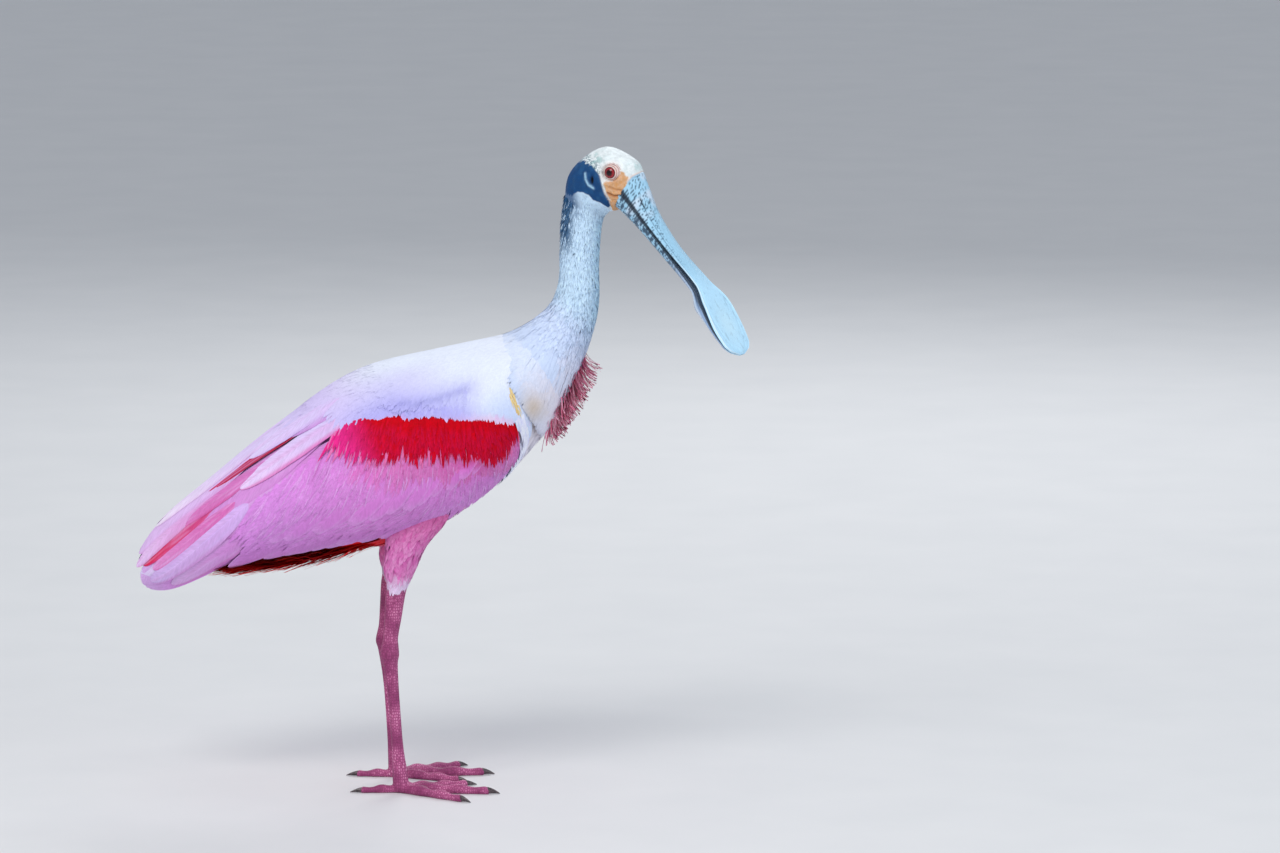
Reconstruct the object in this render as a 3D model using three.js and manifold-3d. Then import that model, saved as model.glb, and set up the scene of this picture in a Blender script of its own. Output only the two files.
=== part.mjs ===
// Roseate spoonbill, life size, standing at rest: wings folded, head turned a little to its right,
// bill pointing down. Millimetres, +Z up. The bird faces +X, and its right side is toward -Y.
import * as THREE from 'three';
import { mergeVertices } from 'three/addons/utils/BufferGeometryUtils.js';
import Module from 'manifold-3d';

const wasm = await Module();
wasm.setup();

// Driving dimensions
const gap = 0.3; // between parts that touch
const headTurn = 28; // degrees the head and bill are turned toward the bird's right
const pivotX = 157; // upright axis that the head turns about
const bodySides = 26; // sides of a section of the torso
const neckSides = 20;
const headSides = 20;

// Body from rump to bill: back line x, z; belly line x, z; half width; turn in degrees.
const bodyRows = [
  [-117, 241, -109, 206, 18, 0], // root of the tail
  [-81, 292, -52, 199, 44, 0], // rump
  [-29, 335, 21, 211, 61, 0], // loins
  [32, 359, 87, 256, 58.5, 0], // back
  [93, 379, 131, 304, 45, 0], // shoulders
  [125, 399, 156, 353, 28, 0], // root of the neck
  [137, 420, 170, 399, 18.5, 0], // lower neck
  [139, 449, 171, 441, 15.5, 0], // middle of the neck
  [141, 482, 174, 474, 15.5, 4], // upper neck
  [148.3, 516, 181, 483, 18, 22], // nape
  [178, 537, 185, 484, 18.5, headTurn], // crown
  [206, 528, 187, 485, 15.5, headTurn], // forehead
  [214, 517, 189, 485, 13.5, headTurn], // root of the bill
];
const torsoSpan = [0, 4.25]; // stations of bodyRows
const lowerNeckSpan = [4.25, 6.2];
const upperNeckSpan = [6.2, 8.45];
const headSpan = [8.45, 12];

// Both folded wings together, from shoulder to tip: top line x, z; lower line x, z; half width.
const wingRows = [
  [93, 379, 129, 301, 50],
  [32, 365, 88, 256, 70],
  [-34, 346.5, 27, 214, 76],
  [-93, 307, -48, 199, 67],
  [-151, 260, -122, 186, 48],
  [-197, 221, -186, 164, 28],
  [-226, 178, -222, 171, 6],
];
const wingSpan = [0.35, 4.3]; // stations of wingRows that the flesh and quills of the wing cover
const wingSkin = { front: 3.2, back: 5.2 }; // depth of the wing's own surface below the tips of its feathers

// Feather tiers of one wing. Roots run from one [station, degrees down from the midline] to another,
// and reach and fall are how far the first and last feathers go on from there.
// tilt is the rise from one edge to the other, bend is in degrees down at the middle, and clear is how
// high a blade lies over the flesh once it has left it.
const feather = { thickness: 0.9, segments: 3, tilt: 0.16, columns: [-1, 0, 1], bend: 2, clear: 2.5 };
const lock = { thickness: 1.2, segments: 3, tilt: 0.1, columns: [-1, 1], bend: 3, clear: 1.6 };
const secondaries = { count: 7, from: [0.72, 106], to: [2.9, 98], reach: [0.9, 1.3], fall: [38, 42],
  width: 22, lift: 0.4, bend: 4, segments: 4, tilt: 0.22 };
const greaterCoverts = { count: 7, from: [0.5, 96], to: [2.57, 87], reach: [0.66, 0.97], fall: [28, 32],
  width: 21, lift: 1.6, clear: 3.2 };
const lowerScapulars = { count: 4, from: [0.5, 45], to: [1.95, 35], reach: [1.1, 1.9], fall: [7, 12],
  width: 25, lift: 1.9, columns: [-1, 1] };
const upperScapulars = { count: 3, from: [0.6, 23], to: [2.2, 18], reach: [1.4, 2.2], fall: [2, 5],
  width: 25, lift: 1.6, clear: 1.8, columns: [-1, 1] };
const tertials = { count: 3, from: [2.75, 24], to: [3.1, 60], reach: [2.3, 2.1], fall: [-2, 3],
  width: 24, lift: 0.2, bend: 4, segments: 4, tilt: 0.12, columns: [-1, 1] };
const tiers = [secondaries, greaterCoverts, lowerScapulars, upperScapulars, tertials];
// Primaries: the longest feathers, from the end of the flesh, fanned about the tip of the folded wing.
const primaries = { count: 6, station: 3.95, from: 132, to: 52, tipStation: 5.3, bulge: 0.5, width: 19 };
// Narrow crimson plumes of the shoulder, in two rows.
const plumes = [
  { count: 8, from: [0.42, 86], to: [2.25, 57], reach: [0.34, 0.6], fall: [24, 13], width: 14, lift: 1.4 },
  { count: 7, from: [0.4, 68], to: [1.9, 44], reach: [0.34, 0.6], fall: [24, 15], width: 14, lift: 2.3 },
];

// Tuft of the breast: rows of tapered locks down the front of the lower neck.
const tuft = { rows: 4, perRow: 5, from: 5.62, to: 4.66, halfSpread: 46, width: 11.5, reach: 0.74 };

// Line of the mouth, seen from the side with the head straight: x, z.
const mouthLine = [[201.7, 500.9], [239, 458], [275, 420], [292, 394], [306, 372.5]];
// Bill along the mouth line: share of the length, half width, height above and depth below the line.
const billRows = [
  [0, 13.5, 19.5, 16.5],
  [0.17, 12.3, 9, 12],
  [0.37, 11.2, 5, 9.5],
  [0.6, 13, 3.8, 8.5],
  [0.7, 21.5, 3.4, 12],
  [0.84, 24.5, 3, 5],
  [0.94, 21.5, 2.4, 3.2],
  [0.995, 8, 1.5, 2],
];

// Eye, on the side of the head
const eyeRadius = 7;
const eyePlace = [192.2, 11.4, 517.9]; // x, distance out from the middle, z, with the head straight
const lidRadius = 6.1;
const lidThickness = 1.25;

// Legs, for the right one: station rows are x, distance out from the middle, z, half depth, half width.
const thighRows = [
  [24, 30, 262, 25, 15],
  [21, 31, 232, 26, 16],
  [11.5, 33, 208, 17.5, 14.5],
  [6.5, 33, 190, 14, 11.5],
  [4.9, 33, 178, 10, 9],
];
const shankRows = [
  [5.2, 33, 178, 8.6, 7.2],
  [2.4, 33, 166, 8.2, 6.6],
  [0.4, 33, 148, 7.2, 6],
  [-1.6, 33, 131, 6.2, 5.6],
  [-2.2, 33, 124, 7, 6.4],
];
const tarsusRows = [
  [-2.2, 33, 124, 7.2, 6.6],
  [-2.6, 33, 116, 7.9, 7.2],
  [-2, 33, 107, 6.2, 5.6],
  [0.6, 33, 80, 4.8, 4.2],
  [3.4, 33, 40, 4.9, 4.3],
  [5.2, 33, 20, 6, 5.6],
];
const footTop = 20; // height of the joint between leg and foot
const footPlace = [6, 33]; // middle of the foot: x, distance out from the middle
const legSet = { right: 0, left: -6 }; // how far each leg stands forward
// Toes: direction in degrees from straight ahead, toward the outside; length; radius at the root.
const toes = { inner: [-25, 60, 5], middle: [6, 74, 5.6], outer: [38, 66, 5.2], hind: [176, 33, 4.4] };
const clawLength = 9;
const webHeights = [1.2, 3.2]; // under and upper side of the web between the toes

// Tail
const tail = {
  feathers: 8, rootX: -124, rootZ: 224, tipX: -178, tipZ: 193, rootHalf: 9, tipHalf: 13, width: 14, crown: 2.5,
};
const tailLayer = 1.5; // depth from one tail feather to the next on the same side
const tailCoverts = [ // count, root x and z, tip x and z, half spread at root and tip
  [3, -118, 207, -150, 184, 10, 10],
  [2, -117, 205, -163, 177, 5, 6],
  [3, -120, 238, -152, 218, 10, 11],
];
const tailBaseRows = [ // x, z, half width, half height of the fleshy base
  [-123, 224, 18, 13.5],
  [-133, 217, 16, 8.5],
  [-144, 210, 11, 3],
];
const tailRoomRows = [ // clear space that the wings leave about the tail
  [-100, 222, 26, 27],
  [-140, 206, 24, 25],
  [-164, 196, 21.5, 19],
  [-185, 186, 20, 12],
];

// Materials
const paint = (color, roughness) => new THREE.MeshStandardMaterial({ color, roughness, metalness: 0 });
const materials = {
  torso: paint('#e3bfd6', 0.9),
  wing: paint('#d58fc4', 0.85),
  tail: paint('#b97a4a', 0.85),
  neck: paint('#cfe0f2', 0.9),
  head: paint('#dfe8ea', 0.7),
  bill: paint('#a9cbe0', 0.45),
  eye: paint('#8f1f24', 0.1),
  thigh: paint('#cf78b0', 0.9),
  leg: paint('#a05078', 0.6),
  claw: paint('#2c2526', 0.4),
};

// One row of numbers at any station: a smooth curve through the rows.
function rowAt(rows, station) {
  const last = rows.length - 1;
  const i = Math.min(Math.max(Math.floor(station), 0), last - 1);
  const t = station - i;
  const pick = (k) => {
    if (k < 0) return rows[0].map((v, c) => 2 * v - rows[1][c]);
    if (k > last) return rows[last].map((v, c) => 2 * v - rows[last - 1][c]);
    return rows[k];
  };
  const [a, b, c, d] = [i - 1, i, i + 1, i + 2].map(pick);
  return b.map((v, n) => 0.5 * (2 * v + (c[n] - a[n]) * t
    + (2 * a[n] - 5 * v + 4 * c[n] - d[n]) * t * t
    + (3 * v - a[n] - 3 * c[n] + d[n]) * t * t * t));
}

const mix = (a, b, t) => a + (b - a) * t;
const steps = (from, to, count) => Array.from({ length: count + 1 }, (_, i) => mix(from, to, i / count));

// Turns a point by the head's turn: forward swings toward -Y, about the upright axis at pivotX.
function turned(x, y, z, degrees) {
  const a = THREE.MathUtils.degToRad(degrees);
  const forward = x - pivotX;
  return new THREE.Vector3(
    pivotX + forward * Math.cos(a) + y * Math.sin(a),
    -forward * Math.sin(a) + y * Math.cos(a),
    z,
  );
}

// Closed solid from points and triangles, with its faces turned outward.
function solidOf(points, faces) {
  let volume = 0;
  const cross = new THREE.Vector3();
  for (const [a, b, c] of faces) volume += cross.crossVectors(points[a], points[b]).dot(points[c]);
  const outward = volume > 0 ? faces : faces.map(([a, b, c]) => [a, c, b]);
  return new wasm.Manifold(new wasm.Mesh({
    numProp: 3,
    vertProperties: new Float32Array(points.flatMap((p) => p.toArray())),
    triVerts: new Uint32Array(outward.flat()),
  }));
}

// Solid through closed rings of points, its two ends closed flat.
function loft(rings) {
  const sides = rings[0].length;
  const faces = [];
  for (let r = 0; r < rings.length - 1; r += 1) {
    for (let k = 0; k < sides; k += 1) {
      const a = r * sides + k;
      const b = r * sides + ((k + 1) % sides);
      faces.push([a, b, b + sides], [a, b + sides, a + sides]);
    }
  }
  const end = (rings.length - 1) * sides;
  for (let k = 1; k < sides - 1; k += 1) {
    faces.push([0, k + 1, k], [end, end + k, end + k + 1]);
  }
  return solidOf(rings.flat(), faces);
}

// Solid of a three.js geometry.
function solidFrom(geometry) {
  const bare = geometry.clone();
  bare.deleteAttribute('normal');
  bare.deleteAttribute('uv');
  const merged = mergeVertices(bare);
  const place = merged.attributes.position;
  const corner = (i) => new THREE.Vector3().fromBufferAttribute(place, i);
  const points = Array.from({ length: place.count }, (_, i) => corner(i));
  const index = merged.index.array;
  const faces = Array.from({ length: index.length / 3 }, (_, i) => [...index.slice(3 * i, 3 * i + 3)]);
  return solidOf(points, faces.filter(([a, b, c]) => a !== b && b !== c && a !== c));
}

// Repeatable scatter between -1 and 1.
function scatter(seed) {
  let state = seed;
  return () => {
    state = (state * 16807) % 2147483647;
    return (2 * state) / 2147483647 - 1;
  };
}

const joined = (solids) => solids.reduce((whole, one) => whole.add(one));

function largest(whole) {
  const pieces = whole.decompose();
  return pieces.reduce((best, one) => (one.volume() > best.volume() ? one : best));
}

const bird = new THREE.Group();

function addNode(name, whole, material) {
  const mesh = largest(whole).getMesh();
  const geometry = new THREE.BufferGeometry();
  geometry.setAttribute('position', new THREE.BufferAttribute(mesh.vertProperties, 3));
  geometry.setIndex(new THREE.BufferAttribute(mesh.triVerts, 1));
  geometry.computeVertexNormals();
  const node = new THREE.Mesh(geometry, material);
  node.name = name;
  bird.add(node);
}

// Section of the body at a station, grown outward and moved along the body by shift.
function bodyRing(station, sides, grow = 0, shift = 0) {
  const [backX, backZ, bellyX, bellyZ, half, turn] = rowAt(bodyRows, station);
  const up = new THREE.Vector2((backX - bellyX) / 2, (backZ - bellyZ) / 2);
  const long = up.length();
  const centreX = (backX + bellyX) / 2 + (up.y / long) * shift;
  const centreZ = (backZ + bellyZ) / 2 - (up.x / long) * shift;
  return Array.from({ length: sides }, (_, k) => {
    const a = (2 * Math.PI * k) / sides;
    const rise = Math.cos(a) * (1 + grow / long);
    return turned(centreX + up.x * rise, (half + grow) * Math.sin(a), centreZ + up.y * rise, turn);
  });
}

// Length of body between two stations, held back by half the gap at each end.
function bodyLength([from, to], count, sides, grow = 0) {
  const rings = steps(from, to, count).map((s, i) => {
    if (i === 0) return bodyRing(s, sides, grow, gap / 2 - grow);
    return bodyRing(s, sides, grow, i === count ? grow - gap / 2 : 0);
  });
  return loft(rings);
}

const torso = bodyLength(torsoSpan, 10, bodySides);
const torsoRoom = bodyLength(torsoSpan, 10, bodySides, gap + 0.1);

// Point on the surface of the folded wings: station, degrees down from the midline, lift off it.
function wingPoint(side, station, degrees, lift) {
  const place = (s, d) => {
    const [topX, topZ, lowX, lowZ, half] = rowAt(wingRows, s);
    const a = THREE.MathUtils.degToRad(d);
    const rise = Math.cos(a);
    return new THREE.Vector3(
      (topX + lowX) / 2 + ((topX - lowX) / 2) * rise,
      side * half * Math.sin(a),
      (topZ + lowZ) / 2 + ((topZ - lowZ) / 2) * rise,
    );
  };
  const point = place(station, degrees);
  const alongWing = place(station + 0.02, degrees).sub(place(station - 0.02, degrees));
  const aroundWing = place(station, degrees + 0.5).sub(place(station, degrees - 0.5));
  const normal = alongWing.cross(aroundWing).normalize().multiplyScalar(-side);
  return point.addScaledVector(normal, lift);
}

// How deep the outer and inner faces of the wing's flesh lie at a station.
function wingDepth(station) {
  const t = (station - wingSpan[0]) / (wingSpan[1] - wingSpan[0]);
  const outer = mix(wingSkin.front, wingSkin.back, Math.min(1, t * 4)); // deepest from a quarter of the way
  return { outer, inner: outer + mix(7, 2.4, Math.min(1, t * 1.3)) };
}

// Flesh of one wing: a sheet under the wings' surface, thinner toward the tip.
function wingFlesh(side) {
  const along = 9;
  const around = 6;
  const layers = ['outer', 'inner'].map((face) => steps(wingSpan[0], wingSpan[1], along).map((s, i) => {
    const t = i / along;
    const top = mix(34, 9, Math.min(1, t * 1.6));
    const low = mix(116, 146, Math.min(1, t * 4));
    return steps(top, low, around).map((d) => wingPoint(side, s, d, -wingDepth(s)[face]));
  }));
  const points = layers.flat(2);
  const wide = around + 1;
  const under = (along + 1) * wide;
  const faces = [];
  const quad = (a, b, c, d) => faces.push([a, b, c], [a, c, d]);
  for (let i = 0; i < along; i += 1) {
    for (let k = 0; k < around; k += 1) {
      const a = i * wide + k;
      quad(a, a + 1, a + wide + 1, a + wide);
      faces.push([under + a, under + a + wide + 1, under + a + 1]);
      faces.push([under + a, under + a + wide, under + a + wide + 1]);
    }
    const upper = i * wide;
    const lower = i * wide + around;
    quad(upper, upper + wide, under + upper + wide, under + upper);
    quad(lower + wide, lower, under + lower, under + lower + wide);
  }
  for (let k = 0; k < around; k += 1) {
    const far = along * wide + k;
    quad(k + 1, k, under + k, under + k + 1);
    quad(far, far + 1, under + far + 1, under + far);
  }
  return solidOf(points, faces);
}

// Thin blade of a feather or lock that follows a surface. surface(a, b, lift) gives a point on it, and
// route(t) gives a, b and lift along the blade. Both faces are split along the same diagonals.
function bladeOn(surface, route, { width, thickness, segments, tilt, columns, shape }) {
  const wide = columns.length;
  const sides = 2 * wide;
  const small = 0.02;
  const points = [];
  const faces = [];
  for (const t of steps(0, 1, segments)) {
    const [a, b, lift] = route(t);
    const here = surface(a, b, lift);
    const scaleA = surface(a + small, b, lift).distanceTo(here) / small;
    const scaleB = surface(a, b + 1, lift).distanceTo(here);
    const [backA, backB] = route(t - 0.05);
    const [aheadA, aheadB] = route(t + 0.05);
    const ahead = new THREE.Vector2((aheadA - backA) * scaleA, (aheadB - backB) * scaleB).normalize();
    const half = (width / 2) * shape(t);
    const thick = thickness * mix(1, 0.6, t);
    const place = (edge, face) => {
      const [asideA, asideB] = [(-ahead.y * edge * half) / scaleA, (ahead.x * edge * half) / scaleB];
      return surface(a + asideA, b + asideB, lift + edge * half * tilt + (face * thick) / 2);
    };
    points.push(...columns.map((edge) => place(edge, 1)));
    points.push(...[...columns].reverse().map((edge) => place(edge, -1)));
  }
  for (let r = 0; r < segments; r += 1) {
    for (let k = 0; k < sides; k += 1) {
      const [a, b] = [sides * r + k, sides * r + ((k + 1) % sides)];
      if (k < wide) faces.push([a, b, b + sides], [a, b + sides, a + sides]);
      else faces.push([a, b, a + sides], [b, b + sides, a + sides]);
    }
  }
  const end = sides * segments;
  for (let k = 0; k < wide - 1; k += 1) {
    const [a, b, c, d] = [k, k + 1, sides - 2 - k, sides - 1 - k];
    faces.push([a, c, b], [a, d, c], [end + a, end + b, end + c], [end + a, end + c, end + d]);
  }
  return solidOf(points, faces);
}

const featherShape = (t) => Math.min(1, 0.5 + 1.8 * t) * Math.sqrt(1 - 0.93 * t ** 4);
const lockShape = (t) => mix(1, 0.14, t ** 1.4);

// Feather of a wing, from its root in the flesh to its tip on the wings' surface. Its first length
// brings it clear of the flesh, and the rest rises evenly to the tip.
function wingFeather(side, { root, tip, bend, clear, lift, ...form }) {
  const { outer, inner } = wingDepth(root[0]);
  const start = -Math.min((outer + inner) / 2, outer + 1.6);
  const out = clear - outer;
  const first = 1 / form.segments;
  const route = (t) => [
    mix(root[0], tip[0], t),
    mix(root[1], tip[1], t) + bend * Math.sin(Math.PI * t),
    t < first ? mix(start, out, t / first) : mix(out, lift, (t - first) / (1 - first)),
  ];
  return bladeOn((station, degrees, height) => wingPoint(side, station, degrees, height), route, form);
}

function wingTier(side, tier, shape, vary) {
  const { count, from, to, reach, fall, width } = tier;
  return Array.from({ length: count }, (_, i) => {
    const t = i / (count - 1);
    const root = [mix(from[0], to[0], t), mix(from[1], to[1], t) + vary()];
    const long = mix(reach[0], reach[1], t) * (1 + 0.06 * vary());
    const tip = [root[0] + long, root[1] + mix(fall[0], fall[1], t)];
    return wingFeather(side, { ...feather, ...tier, root, tip, width: width * (1 + 0.06 * vary()), shape });
  });
}

function wing(side) {
  const vary = scatter(side < 0 ? 41 : 77);
  const parts = [wingFlesh(side)];
  const { count, station, from, to, tipStation, bulge, width } = primaries;
  for (let i = 0; i < count; i += 1) {
    const t = i / (count - 1);
    const tip = [tipStation + bulge * Math.sin(Math.PI * mix(0.2, 0.9, t)), mix(160, 48, t) + 2 * vary()];
    parts.push(wingFeather(side, { ...feather, root: [station, mix(from, to, t)], tip, width,
      lift: mix(-2.6, -1.2, t), clear: 0.6, segments: 4, thickness: 0.8, shape: featherShape }));
  }
  for (const tier of tiers) parts.push(...wingTier(side, tier, featherShape, vary));
  for (const row of plumes) {
    parts.push(...wingTier(side, { ...lock, ...row }, lockShape, vary));
  }
  return joined(parts);
}

// Point on the body's own surface, as wingPoint is on the wings'.
function bodyPoint(station, degrees, lift) {
  const place = (s, d) => {
    const [backX, backZ, bellyX, bellyZ, half] = rowAt(bodyRows, s);
    const a = THREE.MathUtils.degToRad(d);
    return new THREE.Vector3(
      (backX + bellyX) / 2 + ((backX - bellyX) / 2) * Math.cos(a),
      half * Math.sin(a),
      (backZ + bellyZ) / 2 + ((backZ - bellyZ) / 2) * Math.cos(a),
    );
  };
  const point = place(station, degrees);
  const alongBody = place(station + 0.02, degrees).sub(place(station - 0.02, degrees));
  const aroundBody = place(station, degrees + 0.5).sub(place(station, degrees - 0.5));
  const normal = alongBody.cross(aroundBody).normalize();
  return point.addScaledVector(normal, lift);
}

// Locks of the breast tuft, hanging down the front with their tips standing out.
function breastLocks() {
  const vary = scatter(23);
  const locks = [];
  for (let row = 0; row < tuft.rows; row += 1) {
    const station = mix(tuft.from, tuft.to, row / (tuft.rows - 1));
    const count = tuft.perRow + (row % 2);
    for (let i = 0; i < count; i += 1) {
      const aside = tuft.halfSpread * ((2 * i) / (count - 1) - 1) * mix(0.75, 1, row / (tuft.rows - 1));
      const root = [station + 0.05 * vary(), 180 + aside];
      const reach = tuft.reach * (1 + 0.25 * vary());
      const sweep = 5 * vary();
      const stand = 4.2 + 2.4 * vary();
      const route = (t) => [root[0] - reach * t, root[1] + sweep * t * t, mix(-2.2, stand, t)];
      locks.push(bladeOn(bodyPoint, route, { ...lock, width: tuft.width, tilt: 0, shape: lockShape }));
    }
  }
  return locks;
}

const legForward = (side) => (side < 0 ? legSet.right : legSet.left);

// Ring of an upright-standing leg section: flat ellipse at a height, at least as high as the floor.
function legRing([x, out, z, halfDepth, halfWidth], side, sides, grow = 0) {
  return Array.from({ length: sides }, (_, k) => {
    const a = (2 * Math.PI * k) / sides;
    return new THREE.Vector3(
      x + (halfDepth + grow) * Math.cos(a),
      side * out + (halfWidth + grow) * Math.sin(a),
      z,
    );
  });
}

function legPiece(rows, side, count, sides, grow = 0) {
  return loft(steps(0, rows.length - 1, count).map((s) => {
    const row = rowAt(rows, s);
    row[0] += legForward(side);
    if (s === 0) row[2] -= gap / 2 - grow;
    if (s === rows.length - 1) row[2] += gap / 2 - grow;
    return legRing(row, side, sides, grow);
  }));
}

// One toe along the floor: round above, flat beneath, with a swelling at each joint.
function toe([degrees, length, radius], side) {
  const a = THREE.MathUtils.degToRad(degrees);
  const ahead = new THREE.Vector2(Math.cos(a), side * Math.sin(a));
  const joints = length > 50 ? 3 : 2;
  const sides = 7;
  return loft(steps(0, 1, joints * 2).map((t) => {
    const knuckle = 1 + 0.1 * Math.cos(2 * Math.PI * joints * t);
    const r = radius * mix(1, 0.62, t) * knuckle;
    return Array.from({ length: sides }, (_, k) => {
      const b = (2 * Math.PI * (k - 0.25)) / sides; // so that the toe lies on two of its corners
      const across = r * Math.cos(b);
      return new THREE.Vector3(
        footPlace[0] + legForward(side) + ahead.x * length * t - ahead.y * across,
        side * footPlace[1] + ahead.y * length * t + ahead.x * across,
        Math.max(0, r * 0.72 + r * Math.sin(b)),
      );
    });
  }));
}

// Thin web between the roots of two neighbouring toes.
function web(first, second, side) {
  const reach = 0.36;
  const rootX = footPlace[0] + legForward(side);
  const tip = ([degrees, length]) => {
    const a = THREE.MathUtils.degToRad(degrees);
    return [rootX + length * reach * Math.cos(a), side * (footPlace[1] + length * reach * Math.sin(a))];
  };
  const middle = ([degrees, length]) => {
    const a = THREE.MathUtils.degToRad((degrees + second[0]) / 2);
    return [rootX + length * 0.2 * Math.cos(a), side * (footPlace[1] + length * 0.2 * Math.sin(a))];
  };
  const outline = [[rootX, side * footPlace[1]], tip(first), middle(first), tip(second)];
  return loft(webHeights.map((z) => outline.map(([x, y]) => new THREE.Vector3(x, y, z))));
}

function foot(side) {
  const { inner, middle, outer } = toes;
  const stem = loft([[6, 33, 2, 6.4, 6.4], [6, 33, 8, 6.8, 6.4], [5.2, 33, footTop - gap / 2, 6, 5.6]]
    .map(([x, ...row]) => legRing([x + legForward(side), ...row], side, 10)));
  const all = Object.values(toes).map((one) => toe(one, side));
  return joined([stem, ...all, web(inner, middle, side), web(middle, outer, side)]);
}

// Claw at the end of a toe, curved a little downward.
function claw([degrees, length, radius], side) {
  const a = THREE.MathUtils.degToRad(degrees);
  const ahead = new THREE.Vector2(Math.cos(a), side * Math.sin(a));
  const start = length + gap;
  const sides = 6;
  return loft(steps(0, 1, 3).map((t) => {
    const r = radius * mix(0.5, 0.12, t);
    const reach = start + clawLength * t;
    const height = mix(radius * 0.5, 1.1, t * t);
    return Array.from({ length: sides }, (_, k) => {
      const b = (2 * Math.PI * k) / sides;
      const across = r * 0.8 * Math.cos(b);
      return new THREE.Vector3(
        footPlace[0] + legForward(side) + ahead.x * reach - ahead.y * across,
        side * footPlace[1] + ahead.y * reach + ahead.x * across,
        Math.max(0.3, height + r * Math.sin(b)),
      );
    });
  }));
}

// Feather of the tail along a straight line, crowned a little upward in its middle.
function tailFeather(root, tip, normal, form) {
  const surface = (along, aside, lift) => root.clone().lerp(tip, along)
    .add(new THREE.Vector3(0, aside, 0))
    .addScaledVector(normal, lift + tail.crown * Math.sin(Math.PI * along));
  const flat = { tilt: 0, columns: [-1, 1], shape: featherShape };
  return bladeOn(surface, (t) => [t, 0, 0], { ...feather, ...flat, ...form });
}

function tailWhole() {
  const slope = Math.atan2(tail.rootZ - tail.tipZ, tail.rootX - tail.tipX);
  const upward = new THREE.Vector3(-Math.sin(slope), 0, Math.cos(slope));
  const rings = [bodyRing(0, bodySides, 0, -gap / 2)];
  for (const [x, z, half, height] of tailBaseRows) {
    rings.push(Array.from({ length: bodySides }, (_, k) => {
      const a = (2 * Math.PI * k) / bodySides;
      return new THREE.Vector3(x - 0.4 * height * Math.cos(a), half * Math.sin(a), z + height * Math.cos(a));
    }));
  }
  const parts = [loft(rings)];
  for (let i = 0; i < tail.feathers; i += 1) {
    const side = i % 2 ? 1 : -1;
    const aside = side * (i + 1) / tail.feathers;
    const drop = (tailLayer * i) / 2;
    const root = new THREE.Vector3(tail.rootX, aside * tail.rootHalf, tail.rootZ - drop);
    const tip = new THREE.Vector3(tail.tipX + 5 * aside * aside, aside * tail.tipHalf, tail.tipZ - drop);
    parts.push(tailFeather(root, tip, upward, { width: tail.width, thickness: 0.65 }));
  }
  for (const [count, rootX, rootZ, tipX, tipZ, rootHalf, tipHalf] of tailCoverts) {
    for (let i = 0; i < count; i += 1) {
      const aside = (2 * i) / (count - 1) - 1;
      const sink = rootZ > tail.rootZ ? -5 : 5;
      const droop = 2 * Math.abs(aside);
      const root = new THREE.Vector3(rootX, aside * rootHalf, rootZ + sink - droop);
      const tip = new THREE.Vector3(tipX + 2 * droop, aside * tipHalf, tipZ - droop);
      parts.push(tailFeather(root, tip, upward, { width: 12, thickness: 1, segments: 2 }));
    }
  }
  return joined(parts);
}

// Frame of the bill at a share of its length: point on the mouth line, and the upward direction,
// which at the root is that of the last section of the head.
const mouthCurve = new THREE.CatmullRomCurve3(
  mouthLine.map(([x, z]) => new THREE.Vector3(x, 0, z)),
  false,
  'catmullrom',
  0.5,
);

function billFrame(share) {
  const [topX, topZ, lowX, lowZ] = bodyRows[bodyRows.length - 1];
  const rootUp = new THREE.Vector3(topX - lowX, 0, topZ - lowZ).normalize();
  const ahead = mouthCurve.getTangentAt(share);
  const up = new THREE.Vector3(-ahead.z, 0, ahead.x).lerp(rootUp, Math.max(0, 1 - share / 0.17)).normalize();
  return { point: mouthCurve.getPointAt(share), up };
}

function billSize(share) {
  let i = 0;
  while (i < billRows.length - 2 && billRows[i + 1][0] < share) i += 1;
  const t = (share - billRows[i][0]) / (billRows[i + 1][0] - billRows[i][0]);
  return rowAt(billRows, i + Math.min(Math.max(t, 0), 1));
}

// Opening between the two halves of the bill, widest before the spoon.
const mouthGap = (share) => gap + 3.6 * Math.sin(Math.PI * Math.min(1, share) ** 1.6) ** 2;

// Half of the bill: a vault over the mouth line, or a trough under it.
function billHalf(over) {
  const arch = 8;
  const stations = steps(0, 0.995, 15);
  return loft(stations.map((share) => {
    const { point, up } = billFrame(share);
    const [, half, above, below] = billSize(share);
    const height = over ? above : -below;
    const edge = (over ? 0.5 : -0.5) * mouthGap(share);
    const ring = [];
    for (let k = 0; k <= arch; k += 1) {
      const a = (Math.PI * k) / arch;
      const rise = edge + (height - edge) * Math.sin(a);
      ring.push(turned(point.x + up.x * rise, half * Math.cos(a), point.z + up.z * rise, headTurn));
    }
    for (let k = 1; k < 4; k += 1) {
      const y = half * mix(-1, 1, k / 4);
      ring.push(turned(point.x + up.x * edge, y, point.z + up.z * edge, headTurn));
    }
    return ring;
  }));
}

const eyeCentre = (side) => turned(eyePlace[0], side * eyePlace[1], eyePlace[2], headTurn);

function ball(radius, side) {
  const sphere = new THREE.SphereGeometry(radius, 12, 8);
  return solidFrom(sphere.translate(...eyeCentre(side).toArray()));
}

function lids(side) {
  const ring = new THREE.TorusGeometry(lidRadius, lidThickness, 5, 12);
  ring.rotateX(Math.PI / 2);
  ring.rotateZ(THREE.MathUtils.degToRad(-headTurn));
  const out = eyePlace[1] + Math.sqrt(eyeRadius ** 2 - (lidRadius - lidThickness) ** 2);
  return solidFrom(ring.translate(...turned(eyePlace[0], side * out, eyePlace[2], headTurn).toArray()));
}

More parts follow.
